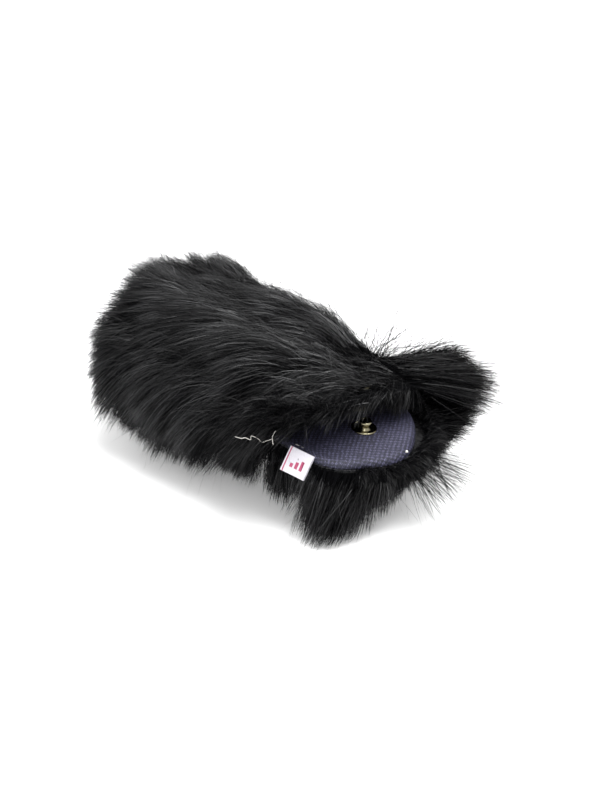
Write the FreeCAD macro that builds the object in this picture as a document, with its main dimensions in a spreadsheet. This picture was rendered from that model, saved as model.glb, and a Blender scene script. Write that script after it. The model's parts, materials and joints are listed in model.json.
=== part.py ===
import FreeCAD, Part
import math
import os
import re

# Furry windscreen for a hand-held recorder, in millimetres. +X runs from the closed end to the mouth,
# +Z is up, and the origin is on the ground under the middle of the cover. The soft layers are nested:
# the pile is outermost, then the foam, then the lining, and the pocket is what the lining leaves. The
# tongue hangs from the mouth's lower edge, the lip arches over it, and the label hangs from the
# tongue's left edge.

DIMENSIONS = {
    # whole cover
    "overall_length": 201,
    "pile_half_width": 50,
    "pile_half_height": 42,
    "pile_middle_z": 38,
    "pile_nose_depth": 34,
    # the pile where the mouth is, and at the lip's front edge
    "pile_mouth_half_width": 46,
    "pile_mouth_half_height": 38,
    "pile_mouth_z": 40,
    "pile_lip_half_width": 38,
    "pile_lip_half_height": 21,
    "pile_lip_z": 45,
    # the fur's knitted back, which is also the foam's outside
    "back_nose_inset": 16.5,
    "back_nose_depth": 28,
    "back_half_width": 41,
    "back_half_height": 23,
    "back_middle_z": 42,
    "back_mouth_half_width": 41,
    "back_mouth_half_height": 17.5,
    "back_mouth_z": 44,
    "back_lip_half_width": 38.5,
    "back_lip_half_height": 13.5,
    "back_lip_z": 43,
    # stations along X
    "body_x": -40,
    "mouth_x": 34,
    "lip_x": 60,
    "nose_seam_x": -66,
    # layers inside the fur
    "foam_thick": 5,
    "foam_mouth_thick": 3,
    "foam_lip_thick": 1.8,
    "lining_thick": 1.2,
    "binding_length": 4,
    "binding_end_x": 58,
    # side seam, the mouth's lower edge and the pocket's floor
    "seam_z": 47,
    "mouth_z": 41,
    "floor_slope": 5.5,
    "tape_thick": 1,
    "tape_width": 5,
    # room for movement
    "gap": 0.3,
    "swing_room": 37,
    "close_room": 22,
    "lip_clearance": 2.4,
    "tongue_back_lean": 3,
    "close_angle": 23.5,
    # tongue: a strip bent to one radius, straight-sided and then round
    "tongue_curve": 177,
    "tongue_root_droop": 3,
    "tongue_half_width": 35,
    "tongue_straight_x": 52,
    "tongue_tip_x": 80,
    "tongue_foam_thick": 3,
    "skirt_half_width": 56,
    "skirt_middle_z": 20,
    "skirt_half_height": 34,
    # press stud and its socket
    "stud_x": 55,
    "flange_radius": 5.1,
    "flange_thick": 0.6,
    "rim_radius": 0.5,
    "post_radius": 2.2,
    "post_foot_radius": 3.3,
    "post_foot_height": 1.1,
    "stud_sink": 0.1,
    "tube_rise": 2.4,
    "bead_z": 3.6,
    "bead_radius": 0.85,
    "stud_top_z": 4.4,
    "eyelet_radius": 4.8,
    "eyelet_thick": 0.8,
    "tube_radius": 1.5,
    "socket_radius": 6,
    "socket_start": 1.3,
    "socket_depth": 4,
    "socket_bore": 3.9,
    "socket_back": 0.7,
    "spring_z": 2.9,
    "spring_ring": 4.2,
    "spring_wire": 0.3,
    "cap_radius": 5.5,
    "cap_thick": 1,
    "cap_lift": 3.6,
    # label: a woven ribbon folded into a loop
    "label_width": 12,
    "label_length": 12.5,
    "label_thick": 1.2,
    "label_slit": 0.4,
    "label_x": 53.5,
    "label_y": -36.2,
    "label_hang": 30,
    "label_yaw": 12,
    "label_room": 17,
    "label_side_room": 3.5,
    # sewing thread
    "thread_radius": 0.3,
    "stitch_length": 2.6,
    "stitch_pitch": 3.6,
    "root_row_x": 30.5,
    "root_row_half": 30,
    "label_stitch_in": 4,
    "tack_length": 5,
    "tack_y": 34.5,
    "tack_radius": 0.9,
    "knot_radius": 0.65,
    "knot_y": 4,
}
NOSE_ANGLES = (25, 45, 65, 85)
FAR = 200  # half the side of a cutting block, beyond any part of the cover

doc = FreeCAD.newDocument("furry_windscreen")
sheet = doc.addObject("Spreadsheet::Sheet", "sheet")
for row, (alias, value) in enumerate(DIMENSIONS.items(), start=1):
    sheet.set(f"A{row}", alias)
    sheet.set(f"B{row}", str(value))
    sheet.setAlias(f"B{row}", alias)
doc.recompute()

nodes = []


def cell(text):
    """text with each alias written as the sheet's cell, for an expression."""
    named = re.sub(r"[a-z]\w*", lambda found: ("sheet." if found[0] in DIMENSIONS else "") + found[0], text)
    return re.sub(r"\b([a-z]+) \(", r"\1(", named)


def bind(thing, **sizes):
    """Binds each property to its expression. Two underscores stand for a dot in the property's path."""
    for path, text in sizes.items():
        thing.setExpression(path.replace("__", "."), cell(text))
    return thing


def place(thing, x="0", y="0", z="0"):
    """Binds where thing's own origin goes."""
    return bind(thing, Placement__Base__x=x, Placement__Base__y=y, Placement__Base__z=z)


def turn(thing, axis, angle):
    """Turns thing about its own origin by angle, an expression in degrees."""
    thing.Placement = FreeCAD.Placement(FreeCAD.Vector(), FreeCAD.Rotation(axis, 45))
    return bind(thing, Placement__Rotation__Angle=angle)


def node(thing, name):
    """Makes thing the sub-part of that name."""
    thing.Label = name
    nodes.append(thing)
    return thing


def cut(name, base, tool):
    made = doc.addObject("Part::Cut", name)
    made.Base = base
    made.Tool = tool
    return made


def common(name, *shapes):
    made = doc.addObject("Part::MultiCommon", name)
    made.Shapes = list(shapes)
    return made


def fuse(name, *shapes):
    made = doc.addObject("Part::MultiFuse", name)
    made.Shapes = list(shapes)
    return made


def half_space(name, x, z, toward):
    """A block whose one face passes through (x, z) and which lies on the side of it that points toward
    that many degrees above +X."""
    made = doc.addObject("Part::Box", name)
    turn(made, FreeCAD.Vector(0, 1, 0), f"-1 * ( {toward} )")
    bind(made, Length=str(2 * FAR), Width=str(2 * FAR), Height=str(2 * FAR))
    return place(made, f"{x} + {FAR} * sin ( {toward} )", str(-FAR), f"{z} - {FAR} * cos ( {toward} )")


def block(name, x0, x1, y0, y1, z0, z1):
    """An upright block between two corners, given as expressions."""
    made = doc.addObject("Part::Box", name)
    bind(made, Length=f"{x1} - ( {x0} )", Width=f"{y1} - ( {y0} )", Height=f"{z1} - ( {z0} )")
    return place(made, x0, y0, z0)


def cylinder(name, radius, height, start="0"):
    made = doc.addObject("Part::Cylinder", name)
    bind(made, Radius=radius, Height=height)
    return place(made, z=start)


def torus(name, ring, wire, height):
    made = doc.addObject("Part::Torus", name)
    bind(made, Radius1=ring, Radius2=wire)
    return place(made, z=height)


# ---------------------------------------------------------------- nested envelopes


def envelope(name, tip_x, nose_depth, body, mouth, lip):
    """A closed loft through upright ellipses: a round nose, then the body, mouth and lip sections.

    body, mouth and lip are (half width, half height, height of the middle) as expressions. A nose
    section at angle a is the body's ellipse times sin a, at the depth a sphere would have there."""
    first = f"cos ( {NOSE_ANGLES[0]} )"
    stations = []
    for angle in NOSE_ANGLES:
        depth = f"{tip_x} + ( {nose_depth} ) * ( {first} - cos ( {angle} ) )"
        half_width, half_height = (f"( {size} ) * sin ( {angle} )" for size in body[:2])
        stations.append((depth, half_width, half_height, body[2]))
    stations.append(("body_x", *body))
    stations.append(("mouth_x", *mouth))
    stations.append(("lip_x", *lip))
    upright = FreeCAD.Placement(FreeCAD.Vector(), FreeCAD.Rotation(FreeCAD.Vector(1, 1, 1), 120))
    rings = []
    for number, (x, half_width, half_height, middle) in enumerate(stations):
        ring = doc.addObject("Part::Ellipse", f"{name}_section_{number}")
        ring.Placement = upright
        bind(ring, MajorRadius=half_width, MinorRadius=half_height)
        rings.append(place(ring, x=x, z=middle))
    loft = doc.addObject("Part::Loft", name)
    loft.Sections = rings
    loft.Solid = True
    loft.Ruled = False
    return loft


def back_inset(name, thick, mouth_thick, lip_thick):
    """The fur's back, moved inwards by a thickness at the body, the mouth and the lip."""
    return envelope(
        name,
        f"-0.5 * overall_length + back_nose_inset + {thick}",
        f"back_nose_depth - ( {thick} )",
        (f"back_half_width - ( {thick} )", f"back_half_height - ( {thick} )", "back_middle_z"),
        (
            f"back_mouth_half_width - ( {mouth_thick} )",
            f"back_mouth_half_height - ( {mouth_thick} )",
            "back_mouth_z",
        ),
        (f"back_lip_half_width - ( {lip_thick} )", f"back_lip_half_height - ( {lip_thick} )", "back_lip_z"),
    )


pile_solid = envelope(
    "pile_envelope",
    "-0.5 * overall_length",
    "pile_nose_depth",
    ("pile_half_width", "pile_half_height", "pile_middle_z"),
    ("pile_mouth_half_width", "pile_mouth_half_height", "pile_mouth_z"),
    ("pile_lip_half_width", "pile_lip_half_height", "pile_lip_z"),
)
back_solid = back_inset("back_envelope", "0", "0", "0")
tape_solid = back_inset("tape_envelope", "tape_thick", "tape_thick", "tape_thick")
foam_inside = back_inset("foam_inside", "foam_thick", "foam_mouth_thick", "foam_lip_thick")
LINED = "foam_thick + lining_thick"
LINED_MOUTH = "foam_mouth_thick + lining_thick"
LINED_LIP = "foam_lip_thick + lining_thick"
lining_inside = back_inset("lining_inside", LINED, LINED_MOUTH, LINED_LIP)

# The floor of the pocket is flat, and climbs to the mouth's lower edge.
lining_top_side = half_space("above_floor", "mouth_x", "mouth_z", "90 + floor_slope")
lining_low_side = half_space("above_floor_back", "mouth_x", "mouth_z - lining_thick", "90 + floor_slope")
pocket = common("pocket", lining_inside, lining_top_side)
lined_space = common("lined_space", foam_inside, lining_low_side)

pile_shell = cut("pile_shell", pile_solid, back_solid)
foam_shell = cut("foam_shell", back_solid, lined_space)
lining_shell = cut("lining_shell", lined_space, pocket)

# ---------------------------------------------------------------- where the layers are divided

EVERY = str(-FAR), str(FAR)
ground = block("above_ground", *EVERY, *EVERY, "0", str(FAR))
nose_zone = block("nose_zone", str(-FAR), "nose_seam_x", *EVERY, "0", str(FAR))
top_zone = block("top_zone", "nose_seam_x", "mouth_x - 0.5 * gap", *EVERY, "seam_z", str(FAR))
base_block = block("base_block", "nose_seam_x", "mouth_x - 0.5 * gap", *EVERY, "0", "seam_z")
behind_tongue = half_space("behind_tongue", "mouth_x - gap", "mouth_z", "180 - swing_room")
base_zone = common("base_zone", base_block, behind_tongue)
lip_block = block("lip_block", "mouth_x + 0.5 * gap", "lip_x", *EVERY, "0", str(FAR))
above_tongue = half_space("above_tongue", "mouth_x", "mouth_z + lip_clearance", "90 + close_room")
lip_zone = common("lip_zone", lip_block, above_tongue)
ZONES = {"nose": nose_zone, "top": top_zone, "base": base_zone}

for place_name, zone in ZONES.items():
    node(common(f"fur_{place_name}", pile_shell, zone), f"fur_{place_name}_panel")
    node(common(f"lining_{place_name}", lining_shell, zone), f"lining_{place_name}")

# ---------------------------------------------------------------- seam tapes, set into the foam's outside


def seam_tapes():
    """Two strips along the side seams and one round the nose seam, each lying on the fur's back. Returns
    the recess that they lie in."""
    skin = cut("tape_skin", back_solid, tape_solid)
    half = "0.5 * tape_width"
    start = f"nose_seam_x + {half} + gap"
    end = "mouth_x - tape_width"
    left = block("left_tape_zone", start, end, str(-FAR), "0", f"seam_z - {half}", f"seam_z + {half}")
    right = block("right_tape_zone", start, end, "0", str(FAR), f"seam_z - {half}", f"seam_z + {half}")
    ring = block("nose_tape_zone", f"nose_seam_x - {half}", f"nose_seam_x + {half}", *EVERY, *EVERY)
    node(common("tape_left", skin, left), "side_seam_tape_left")
    node(common("tape_right", skin, right), "side_seam_tape_right")
    node(common("tape_nose", skin, ring), "nose_seam_tape")
    return [cut(f"recess_{n}", zone, tape_solid) for n, zone in enumerate((left, right, ring))]


foam_for_tapes = foam_shell
for number, recess in enumerate(seam_tapes()):
    foam_for_tapes = cut(f"foam_recessed_{number}", foam_for_tapes, recess)
for place_name, zone in ZONES.items():
    node(common(f"foam_{place_name}", foam_for_tapes, zone), f"foam_{place_name}")

# ---------------------------------------------------------------- press stud and socket

ARC_X = "( mouth_x + gap - tongue_curve * sin ( tongue_root_droop ) )"
ARC_Z = "( mouth_z - tongue_curve * cos ( tongue_root_droop ) )"


def arc_lean(x):
    """How far the tongue's surface leans forward at x, in degrees."""
    return f"asin ( ( {x} - {ARC_X} ) / tongue_curve )"


def arc_height(x):
    """The height of the tongue's upper surface at x."""
    return f"( {ARC_Z} + sqrt ( tongue_curve * tongue_curve - ( {x} - {ARC_X} ) ^ 2 ) )"


STUD_Z = arc_height("stud_x")
STUD_DX = "( stud_x - mouth_x )"
STUD_DZ = f"( {STUD_Z} - mouth_z )"
SHUT_X = f"mouth_x + {STUD_DX} * cos ( close_angle ) - {STUD_DZ} * sin ( close_angle )"
SHUT_Z = f"mouth_z + {STUD_DX} * sin ( close_angle ) + {STUD_DZ} * cos ( close_angle )"
SHUT_LEAN = f"( {arc_lean('stud_x')} - close_angle * 1 deg )"


def stand(thing, x, z, lean, up="0"):
    """Stands thing at (x, z), leaning forward, and slides it up its own axis."""
    turn(thing, FreeCAD.Vector(0, 1, 0), lean)
    return place(thing, x=f"{x} + {up} * sin ( {lean} )", z=f"{z} + {up} * cos ( {lean} )")


def on_tongue(thing):
    """Stands thing on the tongue where the stud is, square to the surface."""
    return stand(thing, "stud_x", STUD_Z, arc_lean("stud_x"))


def on_lip(thing, up="0"):
    """Stands thing where the stud itself comes when the tongue closes."""
    return stand(thing, SHUT_X, SHUT_Z, SHUT_LEAN, up)


def press_stud():
    """A flange with a rolled rim, a flared foot, a post and a bead with a dimple in its top."""
    flange = cylinder("stud_flange", "flange_radius", "flange_thick", "-0.5 * stud_sink")
    rim = torus("stud_rim", "flange_radius", "rim_radius", "rim_radius - stud_sink")
    foot = doc.addObject("Part::Cone", "stud_foot")
    bind(foot, Radius1="post_foot_radius", Radius2="post_radius", Height="post_foot_height")
    place(foot, z="0.5 * flange_thick")
    post = cylinder("stud_post", "post_radius", "stud_top_z")
    bead = torus("stud_bead", "post_radius", "bead_radius", "bead_z")
    solid = fuse("stud_solid", flange, rim, foot, post, bead)
    dimple = doc.addObject("Part::Sphere", "stud_dimple")
    bind(dimple, Radius="post_radius")
    place(dimple, z="stud_top_z + 0.75 * post_radius")
    bore = cylinder("stud_bore", "tube_radius", "tube_rise + stud_sink", "-1 * stud_sink")
    return on_tongue(cut("stud", solid, fuse("stud_hollows", dimple, bore)))


def stud_eyelet():
    """The tube that comes up through the tongue into the stud, with its flat washer below."""
    deep = "( lining_thick + tongue_foam_thick )"
    washer = cylinder("eyelet_washer", "eyelet_radius", "eyelet_thick", f"-1 * ( {deep} + eyelet_thick )")
    tube = cylinder("eyelet_tube", "tube_radius", f"{deep} + tube_rise", f"-1 * {deep}")
    return on_tongue(fuse("eyelet", washer, tube))


SOCKET_TOP = "socket_start + socket_depth + socket_back"


def socket_cup():
    """A cup with its mouth down, a bevelled back, a groove for the ring spring and a rivet hole."""
    wall = cylinder("cup_wall", "socket_radius", "socket_depth", "socket_start")
    back = doc.addObject("Part::Cone", "cup_back")
    bind(back, Radius1="socket_radius", Radius2="socket_radius - socket_back", Height="socket_back")
    place(back, z="socket_start + socket_depth")
    bore = cylinder("cup_bore", "socket_bore", "socket_depth + gap", "socket_start - gap")
    groove = torus("cup_groove", "spring_ring", "spring_wire + 0.25 * gap", "spring_z")
    rivet = cylinder("cup_rivet_hole", "tube_radius", "socket_back + gap", "socket_start + socket_depth")
    return on_lip(cut("cup", fuse("cup_outside", wall, back), fuse("cup_hollows", bore, groove, rivet)))


def socket_cap():
    """The disc on the fur side of the lip, and the rivet that holds the socket to it."""
    disc = cylinder("cap_disc", "cap_radius", "cap_thick", f"{SOCKET_TOP} + cap_lift")
    rivet = cylinder("cap_rivet", "tube_radius", "socket_back + cap_lift", "socket_start + socket_depth")
    return on_lip(fuse("cap", disc, rivet))


stud = node(press_stud(), "press_stud")
eyelet = node(stud_eyelet(), "stud_eyelet")
node(socket_cup(), "stud_socket")
node(on_lip(torus("ring_spring", "spring_ring", "spring_wire", "0"), "spring_z"), "socket_spring")
cap = node(socket_cap(), "socket_cap")

# ---------------------------------------------------------------- lip

lip_shell = cut("lip_shell", foam_inside, lining_inside)
lip_pile = cut("lip_pile", pile_solid, foam_inside)
room = on_lip(cylinder("socket_room_raw", "socket_radius", "socket_depth + socket_back", "0"), "socket_start")
lip_hollows = fuse("lip_hollows", room, cap)
edge_x = "binding_end_x - binding_length"
lining_zone = block("lip_lining_zone", "mouth_x + 0.5 * gap", edge_x, *EVERY, *EVERY)
binding_zone = block("binding_zone", edge_x, "binding_end_x", *EVERY, *EVERY)
node(cut("lip_fur", common("lip_fur_raw", lip_pile, lip_zone), lip_hollows), "lip_fur")
lip_lining = common("lip_lining_raw", lip_shell, lining_zone, above_tongue)
node(cut("lip_lining", lip_lining, lip_hollows), "lip_lining")
lip_binding = common("lip_binding_raw", lip_shell, binding_zone, above_tongue)
node(cut("lip_binding", lip_binding, lip_hollows), "lip_binding")

# ---------------------------------------------------------------- tongue


def bent(name, radius):
    """A drum along Y: its top is the surface of a tongue layer."""
    drum = doc.addObject("Part::Cylinder", name)
    turn(drum, FreeCAD.Vector(1, 0, 0), "-90")
    bind(drum, Radius=radius, Height=str(2 * FAR))
    return place(drum, ARC_X, str(-FAR), ARC_Z)


def tongue_outline():
    """An upright prism: straight sides from the root, then half an ellipse to the tip."""
    side = "tongue_half_width"
    left, high = f"-1 * {side}", str(0.5 * FAR)
    straight = block("outline_straight", "mouth_x + gap", "tongue_straight_x", left, side, "0", high)
    oval = doc.addObject("Part::Ellipse", "outline_oval")
    turn(oval, FreeCAD.Vector(0, 0, 1), "90")
    bind(oval, MajorRadius=side, MinorRadius="tongue_tip_x - tongue_straight_x")
    place(oval, x="tongue_straight_x")
    prism = doc.addObject("Part::Extrusion", "outline_round")
    prism.Base = oval
    prism.DirMode = "Custom"
    prism.Dir = FreeCAD.Vector(0, 0, 1)
    prism.Solid = True
    bind(prism, LengthFwd=high)
    ahead = block("ahead_of_root", "mouth_x + gap", str(FAR), *EVERY, *EVERY)
    return common("tongue_outline", fuse("outline_whole", straight, prism), ahead)


def label_notch():
    """The room that the label swings in, cut out of the tongue's pile."""
    wide = "( label_width + 2 * label_side_room )"
    deep = "40"
    made = doc.addObject("Part::Box", "label_notch")
    turn(made, FreeCAD.Vector(0, 0, 1), "label_yaw")
    bind(made, Length=wide, Width=deep, Height=str(0.5 * FAR))
    inward = f"( {deep} - 0.5 * label_thick - 0.4 )"
    return place(
        made,
        f"label_x - 0.5 * {wide} * cos ( label_yaw ) + {inward} * sin ( label_yaw )",
        f"label_y - 0.5 * {wide} * sin ( label_yaw ) - {inward} * cos ( label_yaw )",
        f"{arc_height('label_x')} - label_room",
    )


upper = bent("tongue_top", "tongue_curve")
middle = bent("tongue_middle", "tongue_curve - lining_thick")
lower = bent("tongue_low", "tongue_curve - lining_thick - tongue_foam_thick")
outline = tongue_outline()
metal = fuse("tongue_metal", stud, eyelet)
tongue_lining = common("tongue_lining_raw", cut("lining_drum", upper, middle), outline)
node(cut("tongue_lining", tongue_lining, metal), "tongue_lining")
tongue_foam = common("tongue_foam_raw", cut("foam_drum", middle, lower), outline)
node(cut("tongue_foam", tongue_foam, metal), "tongue_foam")

skirt = doc.addObject("Part::Ellipsoid", "skirt")
bind(
    skirt,
    Radius1="skirt_half_height",
    Radius2="0.5 * overall_length - mouth_x",
    Radius3="skirt_half_width",
)
place(skirt, x="mouth_x", z="skirt_middle_z")
tongue_front = half_space("tongue_front", "mouth_x + gap", "mouth_z", "-1 * tongue_back_lean")
skirt_part = common("skirt_part", skirt, upper, ground, tongue_front)
inside = fuse("tongue_inside", cut("layer_room", outline, lower), metal, label_notch())
node(cut("tongue_fur", skirt_part, inside), "tongue_fur")

# ---------------------------------------------------------------- label


def folded_label():
    """Two leaves hanging from the sewn edge, which is local X, and joined by the fold below."""
    half = "0.5 * label_thick"
    drop = f"( label_length - {half} )"
    wide = "0.5 * label_width"
    leaves = block("label_leaves", f"-1 * {wide}", wide, f"-1 * {half}", half, f"-1 * {drop}", "0")
    fold = doc.addObject("Part::Cylinder", "label_fold")
    turn(fold, FreeCAD.Vector(0, 1, 0), "90")
    bind(fold, Radius=half, Height="label_width")
    place(fold, x=f"-1 * {wide}", z=f"-1 * {drop}")
    slit_half = "0.5 * label_slit"
    ends = "-1 * label_width", "label_width"
    slit = block("label_slit_room", *ends, f"-1 * {slit_half}", slit_half, f"-1 * {drop}", "1")
    return cut("label_solid", fuse("label_outside", leaves, fold), slit)


def turned(yaw, lean, roll):
    """Roll about X, then lean about Y, then yaw about Z, in degrees."""
    axes = (FreeCAD.Vector(0, 0, 1), FreeCAD.Vector(0, 1, 0), FreeCAD.Vector(1, 0, 0))
    yawed, leaned, rolled = (FreeCAD.Rotation(a, d) for a, d in zip(axes, (yaw, lean, roll)))
    return FreeCAD.Placement(FreeCAD.Vector(), yawed * leaned * rolled)


def lean_at(x):
    """The tongue's lean at x in degrees, worked out here."""
    curve = DIMENSIONS["tongue_curve"]
    root_x = DIMENSIONS["mouth_x"] + DIMENSIONS["gap"]
    middle_x = root_x - curve * math.sin(math.radians(DIMENSIONS["tongue_root_droop"]))
    return math.degrees(math.asin((x - middle_x) / curve))


label = folded_label()
label.Placement = turned(DIMENSIONS["label_yaw"], lean_at(DIMENSIONS["label_x"]), -DIMENSIONS["label_hang"])
node(place(label, "label_x", "label_y", f"{arc_height('label_x')} - gap"), "label")

# ---------------------------------------------------------------- sewing


def stitch(name, x, y, z, length, yaw=0.0, lean=0.0, radius="thread_radius"):
    """A grain of thread lying along local X."""
    made = doc.addObject("Part::Ellipsoid", name)
    made.Angle1 = -90
    made.Placement = turned(yaw, lean, 0)
    bind(made, Radius1=radius, Radius2=f"0.5 * {length}", Radius3=radius)
    return place(made, x, y, z)


def floor_height(x):
    """The height of the pocket's floor at x."""
    return f"( mouth_z - ( mouth_x - {x} ) * tan ( floor_slope ) )"


def row(name, count, one):
    """count stitches joined as one group of separate solids."""
    made = doc.addObject("Part::Compound", name)
    made.Links = [one(n) for n in range(count)]
    return made


ROOT_STITCHES = int(2 * DIMENSIONS["root_row_half"] / DIMENSIONS["stitch_pitch"]) + 1
LABEL_STITCHES = 4


def root_stitch(n):
    y = f"( {n} - {0.5 * (ROOT_STITCHES - 1)} ) * stitch_pitch"
    z = f"{floor_height('root_row_x')} + thread_radius + 0.2 * gap"
    return stitch(f"root_stitch_{n}", "root_row_x", y, z, "stitch_length", yaw=90)


def label_stitch(n):
    """Stitches inside the lining's edge, above the label's sewn end."""
    along = f"( {n} - {0.5 * (LABEL_STITCHES - 1)} ) * 0.85 * stitch_pitch"
    x = f"( label_x + {along} * cos ( label_yaw ) - label_stitch_in * sin ( label_yaw ) )"
    y = f"label_y + {along} * sin ( label_yaw ) + label_stitch_in * cos ( label_yaw )"
    z = f"{arc_height(x)} + thread_radius + 0.2 * gap"
    lean = lean_at(DIMENSIONS["label_x"])
    return stitch(f"label_stitch_{n}", x, y, z, "0.85 * stitch_length", DIMENSIONS["label_yaw"], lean)


def corner_tack(n):
    """A short upright bar of stitches inside each corner of the mouth."""
    side = 1 if n else -1
    place_of = "root_row_x", f"{side} * tack_y", "mouth_z + 0.5 * tack_length + gap"
    return stitch(f"tack_{n}", *place_of, "tack_length", lean=90, radius="tack_radius")


node(row("mouth_stitches", ROOT_STITCHES, root_stitch), "mouth_stitching")
node(row("label_stitches", LABEL_STITCHES, label_stitch), "label_stitching")
node(row("tacks", 2, corner_tack), "corner_tacks")

knot = doc.addObject("Part::Sphere", "knot")
bind(knot, Radius="knot_radius")
knot_x = "( tongue_tip_x - 3 )"
node(place(knot, knot_x, "knot_y", f"{arc_height(knot_x)} + knot_radius + 0.2 * gap"), "thread_knot")


def loose_thread():
    """A crinkled end of thread from the mouth's left corner, lying against the pile."""
    radius = DIMENSIONS["thread_radius"]
    route = (33.2, -48, 41), (30.5, -48.6, 41.6), (29, -48.4, 40.3), (24, -50.2, 40)
    points = [FreeCAD.Vector(*p) for p in route]
    spans = zip(points, points[1:])
    runs = [Part.makeCylinder(radius, a.distanceToPoint(b), a, b - a) for a, b in spans]
    bends = [Part.makeSphere(radius, p) for p in points[1:-1]]
    made = doc.addObject("Part::Feature", "thread")
    made.Shape = runs[0].multiFuse(runs[1:] + bends)
    return made


node(loose_thread(), "loose_thread")

# ---------------------------------------------------------------- check and write

doc.recompute()
for thing in doc.Objects:
    if {"Invalid", "Error"} & set(thing.State):
        raise RuntimeError(f"{thing.Label} failed: {thing.State}")
os.makedirs("parts", exist_ok=True)
for thing in nodes:
    if thing.Shape.isNull() or not thing.Shape.isValid() or not thing.Shape.Solids:
        raise RuntimeError(f"{thing.Label} has no valid solid")
    thing.Shape.exportStep(f"parts/{thing.Label}.step")
    box = thing.Shape.optimalBoundingBox(False, False)
    corners = [round(v, 1) for v in (box.XMin, box.XMax, box.YMin, box.YMax, box.ZMin, box.ZMax)]
    print(f"{thing.Label:24s} solids {len(thing.Shape.Solids)}, volume {thing.Shape.Volume:.1f}, box {corners}")
print(len(nodes), "nodes")
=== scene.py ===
import json
import math
import bmesh
import bpy
import numpy as np
from mathutils import Matrix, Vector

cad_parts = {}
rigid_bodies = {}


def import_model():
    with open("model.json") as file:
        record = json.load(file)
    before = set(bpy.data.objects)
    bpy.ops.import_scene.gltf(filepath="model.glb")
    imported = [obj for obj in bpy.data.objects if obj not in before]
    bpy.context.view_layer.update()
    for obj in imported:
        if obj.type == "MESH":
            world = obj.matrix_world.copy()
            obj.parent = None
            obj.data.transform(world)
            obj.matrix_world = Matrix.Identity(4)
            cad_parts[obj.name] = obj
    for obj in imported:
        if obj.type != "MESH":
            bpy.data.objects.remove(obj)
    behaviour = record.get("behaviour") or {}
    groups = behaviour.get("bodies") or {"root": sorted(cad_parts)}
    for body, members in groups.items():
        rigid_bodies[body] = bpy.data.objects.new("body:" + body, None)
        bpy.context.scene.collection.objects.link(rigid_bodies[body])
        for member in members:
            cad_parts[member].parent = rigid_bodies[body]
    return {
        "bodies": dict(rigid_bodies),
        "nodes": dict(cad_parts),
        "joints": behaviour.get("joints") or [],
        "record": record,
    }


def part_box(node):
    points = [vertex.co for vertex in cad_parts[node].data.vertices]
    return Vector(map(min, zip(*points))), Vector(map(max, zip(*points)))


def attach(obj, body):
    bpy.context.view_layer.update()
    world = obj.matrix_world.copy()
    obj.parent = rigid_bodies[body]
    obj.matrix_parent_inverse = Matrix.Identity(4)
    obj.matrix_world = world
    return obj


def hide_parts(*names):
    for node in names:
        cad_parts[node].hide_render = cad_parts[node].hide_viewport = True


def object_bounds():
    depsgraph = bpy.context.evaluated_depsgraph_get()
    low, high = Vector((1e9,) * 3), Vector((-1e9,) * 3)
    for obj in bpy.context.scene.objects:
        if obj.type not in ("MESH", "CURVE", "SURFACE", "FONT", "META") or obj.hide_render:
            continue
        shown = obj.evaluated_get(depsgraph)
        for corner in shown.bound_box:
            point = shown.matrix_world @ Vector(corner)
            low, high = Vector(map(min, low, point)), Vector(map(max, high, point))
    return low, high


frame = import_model()
cad_low, cad_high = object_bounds()

# Furry windscreen for a hand-held recorder. +X runs from the closed end to the mouth, -Y is the label's
# side, and the cover lies on the ground at z = 0. All lengths are in metres.
MM = 0.001
JOINTS = {joint["name"]: joint for joint in frame["joints"]}
UP = np.array([0.0, 0.0, 1.0])

# ---------------------------------------------------------------- sizes, from the frame

NOSE_SEAM_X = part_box("fur_nose_panel")[1].x
MOUTH_X = JOINTS["tongue_fold"]["pos_m"][0]
MOUTH_Z = JOINTS["tongue_fold"]["pos_m"][2]
LIP_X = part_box("lip_fur")[1].x
SEAM_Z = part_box("foam_top")[0].z
TONGUE_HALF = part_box("tongue_foam")[1].y
TONGUE_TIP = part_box("tongue_foam")[1].x
LABEL_HINGE = np.array(JOINTS["label_flip"]["pos_m"])
LABEL_AXIS = np.array(JOINTS["label_flip"]["axis"])
LABEL_TUCK = np.array([0.5, 1.1, 0.6]) * MM  # moves the label clear of the pile

BODY_X = -40 * MM
TONGUE_STRAIGHT_X = 52 * MM
TONGUE_CURVE = 177 * MM
TONGUE_DROOP = math.radians(3)
LAYER_GAP = 0.3 * MM
FLOOR_SLOPE = math.radians(5.5)
LINING = 1.2 * MM
TONGUE_FOAM = 3 * MM
KNIT_THICK = 0.8 * MM
SEAT = 0.1 * MM  # room between one layer and the next
FRONT_LEAN = 30.7 / 41  # how far the base's front leans back for each length down

# The fur's knitted back is a round nose and then ellipses: half width, half height and height of the
# middle at the body, the mouth and the lip.
BACK = np.array([[41, 23, 42], [41, 17.5, 44], [38.5, 13.5, 43]]) * MM
# The nose is round over its depth. A ring at FIRST_RING from its pole lies NOSE_PILE in from the end of
# the whole cover's box.
NOSE_DEPTH = 28 * MM
NOSE_PILE = 16.5 * MM
FIRST_RING = math.radians(25)
NOSE_FULL_X = cad_low.x + NOSE_PILE + NOSE_DEPTH * math.cos(FIRST_RING)
NOSE_RUN = 0.5 * math.pi * NOSE_DEPTH
FOAM_INSETS = 5 * MM, 3 * MM, 1.8 * MM


def smooth(value):
    """A step that starts and ends level: 3v^2 - 2v^3 of the value held between 0 and 1."""
    held = np.clip(value, 0, 1)
    return held * held * (3 - 2 * held)


def unit(vectors):
    """The vectors brought to length 1."""
    return vectors / np.maximum(np.linalg.norm(vectors, axis=-1, keepdims=True), 1e-12)


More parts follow.
